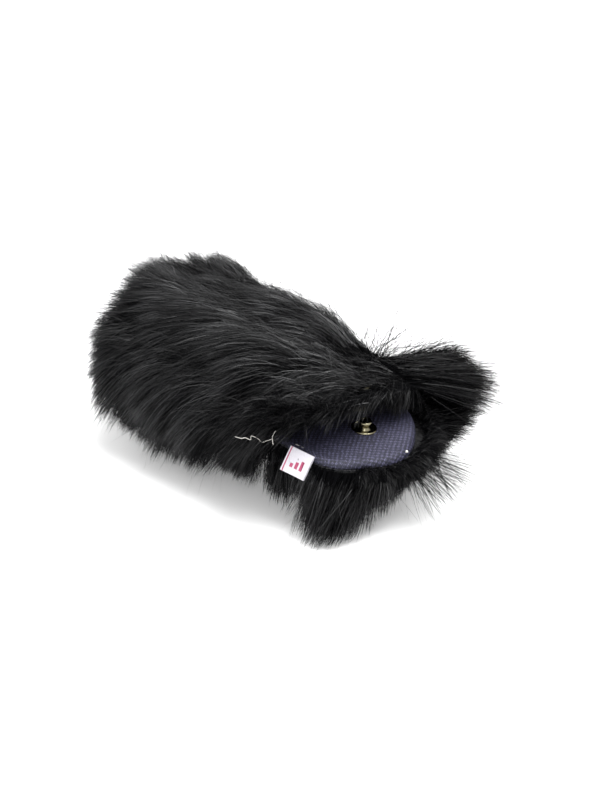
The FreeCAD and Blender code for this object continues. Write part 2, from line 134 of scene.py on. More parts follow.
def section(x, insets):
    """Half width, half height and middle height at x: the three sections joined by level steps, each
    made smaller by its own inset."""
    sizes = BACK.copy()
    sizes[:, :2] -= np.array(insets)[:, None]
    first = smooth((x - BODY_X) / (MOUTH_X - BODY_X))[..., None]
    second = smooth((x - MOUTH_X) / (LIP_X - MOUTH_X))[..., None]
    mixed = sizes[0] * (1 - first) + sizes[1] * first
    return np.moveaxis(mixed * (1 - second) + sizes[2] * second, -1, 0)


def on_back(run, around, insets=(0, 0, 0)):
    """Points and outward normals of the nested envelopes. run is the way along the cover from where the
    nose is full: below zero it goes round a quarter ellipse to the nose's pole. around is the angle
    from the top towards +Y. The point is (x, width sin a, middle + height cos a)."""
    polar = np.clip(0.5 * math.pi * (1 + run / NOSE_RUN), 0, 0.5 * math.pi)
    depth = NOSE_DEPTH - insets[0]
    x = NOSE_FULL_X - depth * np.cos(polar) + np.maximum(run, 0)
    wide, high, middle = section(x, insets)
    share = np.sin(polar)
    points = np.stack([x, wide * share * np.sin(around), middle + high * share * np.cos(around)], -1)
    flat = np.cos(polar) / depth, share * np.sin(around) / wide, share * np.cos(around) / high
    return points, unit(np.stack([-flat[0], flat[1], flat[2]], -1))


def run_at(x):
    """The way along the cover at x, for the fur's back."""
    inside = np.clip((NOSE_FULL_X - x) / NOSE_DEPTH, 0, 1)
    return np.where(x > NOSE_FULL_X, x - NOSE_FULL_X, -NOSE_RUN * (1 - 2 / math.pi * np.arccos(inside)))


# The middle of the circle that the tongue's upper surface follows.
ARC_X = MOUTH_X + LAYER_GAP - TONGUE_CURVE * math.sin(TONGUE_DROOP)
ARC_Z = MOUTH_Z - TONGUE_CURVE * math.cos(TONGUE_DROOP)


def tongue_height(x):
    """The tongue's upper surface: a circle about a line far below it."""
    return ARC_Z + np.sqrt(TONGUE_CURVE**2 - (x - ARC_X) ** 2)


def tongue_end(y):
    """Where the tongue's outline ends at y: half an ellipse ahead of straight sides."""
    share = np.sqrt(np.clip(1 - (y / TONGUE_HALF) ** 2, 0, 1))
    return TONGUE_STRAIGHT_X + (TONGUE_TIP - TONGUE_STRAIGHT_X) * share


# ---------------------------------------------------------------- meshes


def add_piece(name, mesh, body, slot, *materials):
    """Puts a mesh into the scene as a piece that rides on a body."""
    piece = bpy.data.objects.new(name, mesh)
    bpy.context.scene.collection.objects.link(piece)
    for material in materials:
        mesh.materials.append(material)
    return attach(piece, body)


def grid_faces(rows, columns, start=0):
    """Quads between neighbouring rows and columns of a grid of points."""
    corner = (np.arange(rows - 1)[:, None] * columns + np.arange(columns - 1)).ravel() + start
    return np.stack([corner, corner + 1, corner + columns + 1, corner + columns], -1)


def closed_and_smooth(mesh):
    """Joins points that coincide, turns every face outwards and shades the mesh smooth."""
    work = bmesh.new()
    work.from_mesh(mesh)
    bmesh.ops.remove_doubles(work, verts=work.verts, dist=0.001 * MM)
    bmesh.ops.recalc_face_normals(work, faces=work.faces)
    work.to_mesh(mesh)
    work.free()
    mesh.polygons.foreach_set("use_smooth", np.ones(len(mesh.polygons), bool))


def shell_mesh(name, outer, inner, round_about=False, pole=False):
    """A closed layer between two grids of points, with walls along its open edges. round_about means
    that its first and last columns meet, and pole that its first row is one point. The UV map holds
    metres along the outer grid."""
    rows, columns = outer.shape[:2]
    count = rows * columns
    index = np.arange(count).reshape(rows, columns)
    faces = [grid_faces(rows, columns), grid_faces(rows, columns, count)[:, ::-1]]
    edges = [index[-1]]
    if not pole:
        edges.append(index[0])
    if not round_about:
        edges += [index[:, 0], index[:, -1]]
    for edge in edges:
        faces.append(np.stack([edge[:-1], edge[1:], edge[1:] + count, edge[:-1] + count], -1))
    across = np.zeros((rows, columns))
    along = np.zeros((rows, columns))
    across[:, 1:] = np.cumsum(np.linalg.norm(np.diff(outer, axis=1), axis=-1), axis=1)
    along[1:] = np.cumsum(np.linalg.norm(np.diff(outer, axis=0), axis=-1), axis=0)
    flat = np.stack([across - 0.5 * across[:, -1:], along], -1).reshape(-1, 2)
    mesh = bpy.data.meshes.new(name)
    mesh.from_pydata(np.concatenate([outer.reshape(-1, 3), inner.reshape(-1, 3)]), [], np.concatenate(faces))
    corners = np.zeros(len(mesh.loops), np.int32)
    mesh.loops.foreach_get("vertex_index", corners)
    mesh.uv_layers.new(name="cloth").data.foreach_set("uv", flat[corners % count].ravel())
    closed_and_smooth(mesh)
    mesh.set_sharp_from_angle(angle=math.radians(50))
    return mesh


def add_layer(name, outer, inner, body, slot, material, **shape):
    """Puts a closed layer between two grids into the scene."""
    return add_piece(name, shell_mesh(name, outer, inner, **shape), body, slot, material)


# ---------------------------------------------------------------- materials


class Finish:
    """A material's node tree, with short calls to add nodes to it."""

    def __init__(self, name, **settings):
        self.material = bpy.data.materials.new(name)
        self.material.use_nodes = True
        self.tree = self.material.node_tree
        self.shader = self.tree.nodes["Principled BSDF"]
        for socket, value in settings.items():
            self.shader.inputs[socket.replace("_", " ")].default_value = value

    def node(self, kind, inputs=None, **settings):
        """A node with its settings. Each input is joined to a socket or set to a value."""
        made = self.tree.nodes.new(kind)
        for name, value in settings.items():
            setattr(made, name, value)
        for socket, value in (inputs or {}).items():
            if isinstance(value, bpy.types.NodeSocket):
                self.tree.links.new(value, made.inputs[socket])
            else:
                made.inputs[socket].default_value = value
        return made

    def math(self, operation, *values, clamp=False):
        """One arithmetic node's result."""
        made = self.node("ShaderNodeMath", dict(enumerate(values)), operation=operation, use_clamp=clamp)
        return made.outputs[0]

    def noise(self, scale, detail):
        """Noise over the piece, with scale in cells for each metre."""
        where = self.node("ShaderNodeTexCoord").outputs["Object"]
        inputs = {"Scale": scale, "Detail": detail, "Vector": where}
        return self.node("ShaderNodeTexNoise", inputs).outputs["Fac"]

    def ramp(self, value, *stops):
        """Colours along a value: each stop is (position, colour)."""
        made = self.node("ShaderNodeValToRGB", {"Fac": value})
        elements = made.color_ramp.elements
        while len(elements) < len(stops):
            elements.new(0.5)
        for element, (position, colour) in zip(elements, stops):
            element.position = position
            element.color = (*colour, 1)
        return made.outputs["Color"]

    def colour(self, socket):
        """Sets the finish's colour from a socket."""
        self.tree.links.new(socket, self.shader.inputs["Base Color"])

    def rough(self, value, low, high):
        """Sets the roughness to run from low to high as the value goes from 0 to 1."""
        made = self.node("ShaderNodeMapRange", {"Value": value, "To Min": low, "To Max": high})
        self.tree.links.new(made.outputs[0], self.shader.inputs["Roughness"])

    def bump(self, height, depth, strength=1.0):
        """Raises the surface by a height that counts for depth at 1."""
        made = self.node("ShaderNodeBump", {"Height": height, "Distance": depth, "Strength": strength})
        self.tree.links.new(made.outputs[0], self.shader.inputs["Normal"])

    def cloth(self):
        """The two directions of the piece's own UV map."""
        place = self.node("ShaderNodeUVMap", uv_map="cloth").outputs[0]
        split = self.node("ShaderNodeSeparateXYZ", {0: place})
        return split.outputs[0], split.outputs[1]

    def weave(self, pitch_across, pitch_along):
        """A plain weave's height: warp ribs |cos| where the over-and-under product of sines is positive,
        and weft ribs where it is negative."""
        across, along = self.cloth()
        turn_across = self.math("MULTIPLY", across, math.pi / pitch_across)
        turn_along = self.math("MULTIPLY", along, math.pi / pitch_along)
        warp = self.math("ABSOLUTE", self.math("SINE", turn_across))
        weft = self.math("ABSOLUTE", self.math("SINE", turn_along))
        over = self.math(
            "MULTIPLY",
            self.math("COSINE", self.math("MULTIPLY", turn_across, 0.5)),
            self.math("COSINE", self.math("MULTIPLY", turn_along, 0.5)),
        )
        lift = self.math("MULTIPLY_ADD", over, 0.35, 0.65)
        return self.math("MULTIPLY", self.math("MULTIPLY", warp, weft), lift)


def pile_finish(name, colour, rough, shine):
    """One tone of pile. Its tone is plain because each fibre is finer than any pattern on it."""
    return Finish(name, Base_Color=(*colour, 1), Roughness=rough, Specular_IOR_Level=shine).material


def mesh_finish():
    """Fine navy mesh: ribs with pale specks painted where the shiny yarn comes up, which stand in for glints
    of light off it.
    """
    made = Finish("navy_mesh_weave", Roughness=0.6)
    ribs = made.weave(0.8 * MM, 0.55 * MM)
    glint_specks = made.math("MULTIPLY", ribs, made.math("MULTIPLY_ADD", made.noise(1100, 3.0), 2.2, -0.35))
    made.colour(
        made.ramp(
            glint_specks,
            (0.0, (0.002, 0.002, 0.007)),
            (0.3, (0.010, 0.010, 0.030)),
            (0.62, (0.15, 0.145, 0.26)),
        )
    )
    made.rough(ribs, 0.75, 0.42)
    made.bump(ribs, 0.12 * MM, 0.8)
    return made.material


def knit_finish():
    """The fur's knitted back: black yarn in small loops."""
    made = Finish("knitted_back", Roughness=0.85)
    loops = made.weave(1.3 * MM, 0.9 * MM)
    made.colour(made.ramp(loops, (0.0, (0.0015, 0.0015, 0.002)), (1.0, (0.008, 0.008, 0.01))))
    made.bump(loops, 0.2 * MM)
    return made.material


def foam_finish():
    """Open-cell foam: dark grey with a pore at each cell."""
    made = Finish("open_cell_foam", Roughness=0.95)
    where = made.node("ShaderNodeTexCoord").outputs["Object"]
    cells = made.node("ShaderNodeTexVoronoi", {"Vector": where, "Scale": 1400.0}).outputs["Distance"]
    made.colour(made.ramp(cells, (0.1, (0.02, 0.02, 0.022)), (0.6, (0.11, 0.11, 0.12))))
    made.bump(cells, 0.25 * MM)
    return made.material


def tape_finish():
    """Black twill tape: slanted ribs."""
    made = Finish("black_twill_tape", Roughness=0.8)
    across, along = made.cloth()
    slant = made.math("MULTIPLY", made.math("ADD", across, along), 2 * math.pi / (0.8 * MM))
    ribs = made.math("MULTIPLY_ADD", made.math("SINE", slant), 0.5, 0.5)
    made.colour(made.ramp(ribs, (0.0, (0.003, 0.003, 0.004)), (1.0, (0.012, 0.012, 0.015))))
    made.bump(ribs, 0.1 * MM)
    return made.material


def thread_finish(name, dark, light):
    """Spun thread: fine streaks."""
    made = Finish(name, Roughness=0.6, Sheen_Weight=0.3)
    streaks = made.noise(4000, 2.0)
    made.colour(made.ramp(streaks, (0.3, dark), (0.7, light)))
    made.bump(streaks, 0.03 * MM)
    return made.material


def brass_finish():
    """Darkened brass with a faint cloudy tarnish."""
    made = Finish("antique_brass", Metallic=1.0, Roughness=0.2)
    clouds = made.noise(260, 4.0)
    # Painted reflection: the base colour is kept dark to stand in for the black fur round the stud that it
    # reflects; the clouds are random tarnish.
    made.colour(made.ramp(clouds, (0.3, (0.20, 0.18, 0.12)), (0.7, (0.34, 0.31, 0.21))))
    made.rough(clouds, 0.12, 0.26)
    made.bump(made.noise(2500, 2.0), 0.01 * MM, 0.4)
    return made.material


def shaded_brass_finish():
    """The socket's brass, left unpolished, with its colour painted dark for the shade it sits in under the
    lip, and a cloudy tarnish.
    """
    made = Finish("brass_painted_shade", Metallic=1.0, Roughness=0.5)
    clouds = made.noise(320, 4.0)
    made.colour(made.ramp(clouds, (0.3, (0.035, 0.032, 0.024)), (0.7, (0.08, 0.072, 0.05))))
    made.rough(clouds, 0.4, 0.6)
    return made.material


def spring_finish():
    """Bright drawn wire with faint streaks."""
    made = Finish("bright_spring_wire", Metallic=1.0, Roughness=0.25)
    drawn = made.noise(3000, 2.0)
    made.colour(made.ramp(drawn, (0.3, (0.45, 0.45, 0.45)), (0.7, (0.62, 0.62, 0.61))))
    made.rough(drawn, 0.2, 0.35)
    return made.material


# The label's three bars, in millimetres from its middle line and its fold line: place across, middle
# along, and half height. The line is near one selvedge.
LABEL_BARS = (-2.1, 7.3, 0.9), (0.3, 6.7, 1.5), (2.7, 6.1, 2.1)
LABEL_BAR_HALF = 0.75 * MM
LABEL_LINE = -5.1 * MM, 0.3 * MM


def label_finish():
    """White satin ribbon with three woven rose bars of stepped height, and a rose line near one selvedge.
    A bar is where the distance from its middle line is small across and along the ribbon."""
    made = Finish("woven_label_satin", Roughness=0.45, Sheen_Weight=0.4)
    across, along = made.cloth()
    marks = []
    for place, middle, half in LABEL_BARS:
        beside = made.math("ABSOLUTE", made.math("SUBTRACT", across, place * MM))
        beyond = made.math("ABSOLUTE", made.math("SUBTRACT", along, middle * MM))
        narrow = made.math("LESS_THAN", beside, LABEL_BAR_HALF)
        marks.append(made.math("MULTIPLY", narrow, made.math("LESS_THAN", beyond, half * MM)))
    from_line = made.math("ABSOLUTE", made.math("SUBTRACT", across, LABEL_LINE[0]))
    marks.append(made.math("LESS_THAN", from_line, LABEL_LINE[1]))
    marked = made.math("ADD", made.math("ADD", *marks[:2]), made.math("ADD", *marks[2:]), clamp=True)
    threads = made.weave(0.28 * MM, 0.16 * MM)
    white = made.ramp(threads, (0.0, (0.50, 0.48, 0.53)), (0.7, (0.76, 0.74, 0.79)))
    rose = made.ramp(threads, (0.0, (0.30, 0.03, 0.09)), (0.7, (0.46, 0.06, 0.15)))
    mixed = made.node("ShaderNodeMix", {"Factor": marked, "A": white, "B": rose}, data_type="RGBA")
    made.colour(mixed.outputs["Result"])
    made.bump(threads, 0.05 * MM)
    return made.material


# Three tones of black pile, picked per fibre at random and by painted shade: the deep one stands in for
# shaded pile and the bright one for lit pile.
PILE = (
    pile_finish("black_pile_deep", (0.001, 0.001, 0.0014), 0.7, 0.05),
    pile_finish("black_pile", (0.0035, 0.0035, 0.004), 0.42, 0.28),
    pile_finish("black_pile_bright", (0.012, 0.012, 0.0138), 0.38, 0.6),
)
NAVY_MESH = mesh_finish()
KNIT = knit_finish()
FOAM = foam_finish()
TAPE = tape_finish()
DARK_THREAD = thread_finish("dark_thread", (0.012, 0.012, 0.02), (0.05, 0.05, 0.075))
WHITE_THREAD = thread_finish("white_thread", (0.55, 0.52, 0.47), (0.88, 0.86, 0.82))
BRASS = brass_finish()
SHADED_BRASS = shaded_brass_finish()
SPRING = spring_finish()
LABEL = label_finish()

# ---------------------------------------------------------------- layers under the pile


def layer_grid(run, around, insets):
    """A grid of points on a nested envelope, with a row for each run and a column for each angle."""
    along, about = np.meshgrid(run, around, indexing="ij")
    return on_back(along, about, insets)[0]


def floored(grid, below=0.0):
    """The grid with its lower part lifted to the pocket's sloping floor, or a little below it."""
    raised = grid.copy()
    floor = MOUTH_Z - (MOUTH_X - grid[..., 0]) * math.tan(FLOOR_SLOPE) - below
    raised[..., 2] = np.maximum(grid[..., 2], floor)
    return raised


def seam_angle(x, insets=(0, 0, 0)):
    """How far round from the top the side seam lies at x."""
    _, high, middle = section(np.asarray(x), insets)
    return np.arccos(np.clip((SEAM_Z - middle) / high, -1, 1))


def panel_angles(run, side_low, side_high, columns, insets):
    """For each row, angles from side_low to side_high seam, as a grid. The sides are -1 and 1 for the
    top panel, and go on round the bottom for the base panel."""
    x = on_back(run, np.zeros_like(run), insets)[0][..., 0]
    seam = seam_angle(x, insets)
    start = np.where(side_low < 1, -seam, seam)
    stop = np.where(side_high > 1, 2 * math.pi - seam, seam)
    return start[:, None] + (stop - start)[:, None] * np.linspace(0, 1, columns)


def leaning_front(height):
    """Where the base's front lies at a height: it leans back below the mouth, to leave room for the
    folded tongue."""
    return MOUTH_X - np.maximum(MOUTH_Z - height, 0) * FRONT_LEAN


def panel_grid(part, insets, rows=40, columns=64):
    """The nose, top or base panel's grid on one nested envelope."""
    edge = 0.4 * LAYER_GAP
    if part == "nose":
        run = np.linspace(-NOSE_RUN, float(run_at(NOSE_SEAM_X - edge)), rows)
        return layer_grid(run, np.linspace(-math.pi, math.pi, 2 * columns), insets)
    run = np.linspace(float(run_at(NOSE_SEAM_X + edge)), MOUTH_X - edge - NOSE_FULL_X, rows)
    sides = (-1, 1) if part == "top" else (1, 2)
    around = panel_angles(run, *sides, columns, insets)
    run = run[:, None] + 0 * around
    if part == "base":
        height = on_back(run, around, insets)[0][-1, :, 2]
        share = (run - run[0]) / (run[-1] - run[0])
        run = run[0] + share * (leaning_front(height) - edge - NOSE_FULL_X - run[0])
    return on_back(run, around, insets)[0]


def add(insets, more):
    """The three insets, each with the same length added."""
    return tuple(inset + more for inset in insets)


def body_layers():
    """The fur's back, the foam and the lining of the nose, top and base, each between two nested
    envelopes."""
    for part in ("nose", "top", "base"):
        shape = {"round_about": part == "nose", "pole": part == "nose"}
        back = panel_grid(part, (0, 0, 0))
        knit_in = panel_grid(part, (KNIT_THICK,) * 3)
        foam_out = panel_grid(part, (KNIT_THICK + SEAT,) * 3)
        foam_in = floored(panel_grid(part, FOAM_INSETS), LINING + SEAT)
        lining_out = floored(panel_grid(part, add(FOAM_INSETS, SEAT)), LINING)
        lining_in = floored(panel_grid(part, add(FOAM_INSETS, LINING)))
        knit = add_layer(f"{part}_backing", back, knit_in, "cover", "black_pile", KNIT, **shape)
        foam = add_layer(f"{part}_foam", foam_out, foam_in, "cover", "foam", FOAM, **shape)
        lining = add_layer(f"{part}_lining", lining_out, lining_in, "cover", "navy_mesh", NAVY_MESH, **shape)
        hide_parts(f"fur_{part}_panel")
        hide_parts(f"foam_{part}")
        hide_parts(f"lining_{part}")


TAPE_HALF = 2.5 * MM
TAPE_THICK = 0.5 * MM
TAPE_INSET = 0.75 * MM


def tape_layer(name, along, around, bow, **shape):
    """A strip on the inner side of the fur's back. bow runs from -1 to 1 across it, and its thickness is
    the tape's own times 1.3 - 0.3 bow^2."""
    outer, normal = on_back(along, around, (TAPE_INSET,) * 3)
    inner = outer - normal * (TAPE_THICK * (1.3 - 0.3 * bow**2))[..., None]
    return add_layer(name, outer, inner, "cover", "black_tape", TAPE, **shape)


def tape_strips():
    """Tapes that cover the two side seams and the nose seam on the fur's inner side."""
    start = float(run_at(NOSE_SEAM_X + TAPE_HALF + LAYER_GAP))
    run = np.linspace(start, MOUTH_X - 2 * TAPE_HALF - NOSE_FULL_X, 60)
    bow = np.linspace(-1, 1, 9)
    x = on_back(run, 0 * run)[0][:, 0]
    seam = seam_angle(x)
    half_turn = TAPE_HALF / (section(x, (0, 0, 0))[1] * np.sin(seam))
    for side, name in ((-1, "side_seam_tape_left"), (1, "side_seam_tape_right")):
        around = side * (seam[:, None] + bow * half_turn[:, None])
        piece = tape_layer(f"{name}_cloth", run[:, None] + 0 * around, around, bow)
        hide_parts(name)
    run = float(run_at(NOSE_SEAM_X)) + bow * TAPE_HALF
    along, around = np.meshgrid(run, np.linspace(-math.pi, math.pi, 160), indexing="ij")
    ring = tape_layer("nose_seam_tape_cloth", along, around, bow[:, None], round_about=True)
    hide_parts("nose_seam_tape")


LIP_LIFT = math.radians(22)
LIP_CLEARANCE = 2.4 * MM
LIP_TAPE_INSET = 0.85 * MM
LIP_TAPE_THICK = 1.0 * MM


def lip_edge(x, insets):
    """How far round from the top the lip reaches at x, where it meets a plane that climbs forward."""
    _, high, middle = section(x, insets)
    plane = MOUTH_Z + LIP_CLEARANCE + (x - MOUTH_X) * math.tan(LIP_LIFT)
    return np.arccos(np.clip((plane - middle) / high, -1, 1))


def lip_layer(name, start, stop, inset, thick, slot, material):
    """One layer of the lip from start to stop along X, and its outer grid."""
    x = np.linspace(start, stop, 24)
    around = lip_edge(x, (inset,) * 3)[:, None] * np.linspace(-1, 1, 80)
    run = (x - NOSE_FULL_X)[:, None] + 0 * around
    outer = on_back(run, around, (inset,) * 3)[0]
    inner = on_back(run, around, (inset + thick,) * 3)[0]
    return add_layer(name, outer, inner, "lip", slot, material), outer


def lip_layers():
    """The lip's fur back, its lining, and the binding round its front edge."""
    root = MOUTH_X + LAYER_GAP
    edge, front = (corner.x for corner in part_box("lip_binding"))
    knit, grid = lip_layer("lip_backing", root, front, 0, KNIT_THICK, "black_pile", KNIT)
    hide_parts("lip_fur")
    mesh, grid = lip_layer("lip_mesh", root, edge, KNIT_THICK + SEAT, KNIT_THICK, "navy_mesh", NAVY_MESH)
    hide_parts("lip_lining")
    tape, _ = lip_layer("lip_tape", edge, front, LIP_TAPE_INSET, LIP_TAPE_THICK, "black_tape", TAPE)
    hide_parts("lip_binding")


def tongue_grid(inset, drop):
    """The tongue's surface moved in from its outline by inset, and down by drop, which may be an array
    over the grid. Rows go from the root to the curved end, and lie closer together towards it."""
    share = 1 - (1 - np.linspace(0, 1, 56)) ** 1.6
    y = ACROSS * (TONGUE_HALF - inset)
    start = MOUTH_X + LAYER_GAP
    end = tongue_end(y * TONGUE_HALF / (TONGUE_HALF - inset)) - inset
    x = start + share[:, None] * (end - start)[None, :]
    y = np.broadcast_to(y, x.shape)
    return np.stack([x, y, tongue_height(x) - drop], -1)


# Places across the tongue, close together at its sides, and how far the lining's edge stays inside the
# outline, where pile shows: little on the label's side, and more towards the far side.
ACROSS = np.sin(0.5 * math.pi * np.linspace(-1, 1, 73))
PAST_LABEL = smooth((ACROSS + 0.95) / 0.5)
PILE_RIM = (0.4 + 2.8 * PAST_LABEL + 2.6 * smooth(ACROSS / 0.7)) * MM
EDGE_ROLL = 2.6 * MM
TURN_UP = 4 * MM
PUCKER = 0.12 * MM, 2.9 * MM  # depth, and length for one radian


def rim_drop(radius):
    """How much a rolled edge falls: a quarter circle of that radius over the last stretch inside the
    outline."""
    grid = tongue_grid(0, 0)
    side = TONGUE_HALF - np.abs(grid[..., 1])
    ahead = tongue_end(grid[..., 1]) - grid[..., 0]
    slope = np.abs(grid[..., 1]) / TONGUE_HALF
    inside = np.minimum(side, ahead * np.sqrt(np.clip(1 - 0.75 * slope**2, 0, 1)))
    part = 1 - np.clip(inside / radius, 0, 1)
    return radius * (1 - np.sqrt(np.clip(1 - part**2, 0, 1)))


def tongue_layers():
    """The tongue's lining, rolled and slightly puckered over its edge, with its foam and the fur's back
    beneath. The fur's back turns up round the rim, except beside the label."""
    roll = rim_drop(EDGE_ROLL)
    waves = np.sin(tongue_grid(0, 0)[..., 0] / PUCKER[1])
    top = tongue_grid(PILE_RIM, roll + PUCKER[0] * waves * np.clip(roll / EDGE_ROLL, 0, 1))
    under = tongue_grid(PILE_RIM + KNIT_THICK, roll * 0.92 + LINING)
    lining = add_layer("tongue_mesh", top, under, "tongue", "navy_mesh", NAVY_MESH)
    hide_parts("tongue_lining")
    pad_top = tongue_grid(PILE_RIM + 1.0 * MM, roll * 0.9 + LINING + 0.5 * SEAT)
    pad_low = tongue_grid(PILE_RIM + 0.6 * MM, LINING + TONGUE_FOAM)
    pad_top[..., 2] = np.maximum(pad_top[..., 2], pad_low[..., 2] + 2 * SEAT)
    pad = add_layer("tongue_pad", pad_top, pad_low, "tongue", "foam", FOAM)
    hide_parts("tongue_foam")
    turned_up = EDGE_ROLL * rim_drop(TURN_UP) / TURN_UP * PAST_LABEL
    depth = LINING + TONGUE_FOAM + SEAT - turned_up
    knit_top = tongue_grid(0.3 * MM, depth)
    knit_low = tongue_grid(0.5 * MM, depth + KNIT_THICK)
    knit = add_layer("tongue_backing", knit_top, knit_low, "tongue", "black_pile", KNIT)
    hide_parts("tongue_fur")


# ---------------------------------------------------------------- pile

# Pile lengths. The body's is shorter by so much over the nose, at its pole, low on the flank, and on
# the label's side of the nose.
BODY_LENGTH, NOSE_LESS, POLE_LESS, LOW_LESS, NEAR_LESS, NEAR_NOSE_LESS = 36, 17, 6, 8, 6, 9
LIP_LENGTH, LIP_FRONT_LESS, LIP_SIDE_LESS, LIP_FAR_MORE = 29, 3, 4, 22
FRINGE_LENGTH = 10, 18
RIM_LENGTH = 6, 12
TIP_WISP_LENGTH = 22, 36
WISP_LENGTH = 26, 42

STEPS = 6  # points along a fibre, which give it nine triangles
FIBRE_HALF = 0.11 * MM
OUT_ROOM = 11 * MM
LOWEST = 0.4 * MM  # fibres that reach the ground lie between here and that much deeper in the pile
LAID_DEPTH = 2 * MM
TONE_STEPS = 0.2, 0.85  # a fibre is deep below the first, and bright above the second
STRAY_BENT = 3.5


def grow(root, normal, heading, length, rise, fall, bend, side):
    """Fibre lines by steps of equal length. The direction at share t is heading + rise(t) normal -
    fall t up + bend sin(t) side, so a fibre leaves its root steeply and lies down towards its tip. rise
    holds the value at the root and at the tip."""
    points = [root]
    for step in range(1, STEPS):
        share = (step - 0.5) / (STEPS - 1)
        lift = rise[0] * (1 - share) + rise[1] * share
        way = heading + lift[:, None] * normal - (fall * share)[:, None] * UP
        way = way + (bend * math.sin(2.2 * share + 0.3))[:, None] * side
        points.append(points[-1] + unit(way) * (length / (STEPS - 1))[:, None])
    return np.stack(points, 1)


def ribbons(name, lines, facing, tone, half_width):
    """A mesh of ribbons along the lines, each with its flat side about facing. At share t the half width
    is 1 - 0.55 t^1.5 of its own, and the last stretch comes to a point. tone picks each fibre's finish,
    and the stretch at the root takes the deep one as painted shade deep in the pile."""
    count = len(lines)
    way = unit(np.gradient(lines, axis=1))
    across = unit(np.cross(way, facing[:, None, :]))
    taper = 1 - 0.55 * np.linspace(0, 1, STEPS) ** 1.5
    offset = across * (half_width[:, None] * taper)[..., None]
    left, right = (lines - offset)[:, :-1], (lines + offset)[:, :-1]
    points = np.concatenate([left, right, lines[:, -1:]], axis=1)
    each = points.shape[1]
    last = STEPS - 2
    quad = np.array([[k, k + STEPS - 1, k + STEPS, k + 1] for k in range(last)])
    start = (np.arange(count) * each)[:, None, None]
    quads = (start + quad).reshape(-1, 4)
    tips = (start[:, :, 0] + np.array([last, last + STEPS - 1, each - 1])).reshape(-1, 3)
    mesh = bpy.data.meshes.new(name)
    mesh.vertices.add(points.size // 3)
    mesh.vertices.foreach_set("co", points.astype(np.float32).ravel())
    mesh.loops.add(quads.size + tips.size)
    mesh.loops.foreach_set("vertex_index", np.concatenate([quads.ravel(), tips.ravel()]).astype(np.int32))
    mesh.polygons.add(len(quads) + len(tips))
    starts = np.concatenate([np.arange(len(quads)) * 4, quads.size + np.arange(len(tips)) * 3])
    mesh.polygons.foreach_set("loop_start", starts.astype(np.int32))
    tones = np.repeat(tone[:, None], last, axis=1)
    # Painted shade: the root stretch takes the deep tone.
    tones[:, 0] = 0
    tones = np.concatenate([tones.ravel(), tone])
    mesh.polygons.foreach_set("material_index", tones.astype(np.int32))
    mesh.polygons.foreach_set("use_smooth", np.ones(len(tones), bool))
    mesh.update(calc_edges=True)
    return mesh


def kept_in(lines):
    """The lines with what would stand out too far pressed back: a distance d past 1 mm outside the CAD
    model's box counts as 11 mm times tanh(d / 11 mm)."""
    over = np.maximum(lines - np.array(cad_high) - 1 * MM, 0)
    under = np.maximum(np.array(cad_low) - 1 * MM - lines, 0)
    return lines - over + under + OUT_ROOM * (np.tanh(over / OUT_ROOM) - np.tanh(under / OUT_ROOM))


def pile(name, body, seed, tufts, fibres, field, spread=1.9 * MM, gather=0.66, frizz=0.13, stray=0.04):
    """A patch of pile. field(draw, tufts) gives each tuft's root, normal, heading, length, rise at the
    root and tip, fall, spread of bends, and how much painted shade darkens it. Each tuft has that many
    fibres, whose roots lie about the tuft's own and whose tips gather towards the tuft's line. A share
    of them is stray: thinner, longer, more bent and hardly gathered."""
    draw = np.random.default_rng(seed)
    root, normal, heading, length, rise, fall, bends, shade = field(draw, tufts)
    rise = [np.broadcast_to(value, tufts) for value in rise]
    fall = np.broadcast_to(fall, tufts)
    bend = draw.normal(0, bends, tufts)
    side = unit(np.cross(normal, heading))
    guide = grow(root, normal, heading, length, rise, fall, bend, side)
    many = np.repeat(np.arange(tufts), fibres)
    count = len(many)
    normal, side, heading = normal[many], side[many], heading[many]
    fore = np.cross(side, normal)
    shift = draw.normal(0, spread, (count, 2))
    wild = draw.random(count) < stray
    loose = np.where(wild, STRAY_BENT, 1.0)
    start = root[many] + side * shift[:, :1] + fore * shift[:, 1:]
    own_heading = heading + draw.normal(0, frizz, (count, 3)) * loose[:, None]
    own_length = length[many] * draw.uniform(0.72, 1.06, count) * np.where(wild, 1.08, 1.0)
    own_rise = [value[many] * draw.uniform(0.75, 1.25, count) * np.where(wild, 1.5, 1.0) for value in rise]
    own_bend = bend[many] + draw.normal(0, 0.14, count) * loose
    lines = grow(start, normal, own_heading, own_length, own_rise, fall[many], own_bend, side)
    share = np.linspace(0, 1, STEPS)[None, :, None] ** 1.3
    hold = (gather * draw.uniform(0.5, 1.1, count) * np.where(wild, 0.1, 1.0))[:, None, None]
    lines = lines + (guide[many] - lines) * share * hold
    lines = kept_in(lines)
    ground = LOWEST + LAID_DEPTH * draw.random(count)
    lines[..., 2] = np.maximum(lines[..., 2], ground[:, None])
    facing = unit(normal + draw.normal(0, 0.55, (count, 3)))
    # A fibre's tone is random, less its tuft's painted shade.
    light = (draw.random(tufts) - shade)[many] + draw.normal(0, 0.25, count)
    tone = np.digitize(np.where(wild, 0.5, light), TONE_STEPS)
    width = FIBRE_HALF * draw.uniform(0.7, 1.2, count) * np.where(wild, 0.6, 1.0)
    return add_piece(name, ribbons(name, lines, facing, tone, width), body, "black_pile", *PILE)


def drift(seed, point, scale):
    """A value that wanders between about -1 and 1 over the object: the sum of five sine waves with
    random directions and phases, and wavelengths near scale."""
    draw = np.random.default_rng(seed)
    total = 0
    for _ in range(5):
        wave = unit(draw.normal(0, 1, 3)) * 2 * math.pi / (scale * draw.uniform(0.7, 1.4))
        total = total + np.sin(point @ wave + draw.uniform(0, 2 * math.pi))
    return total / 2.2


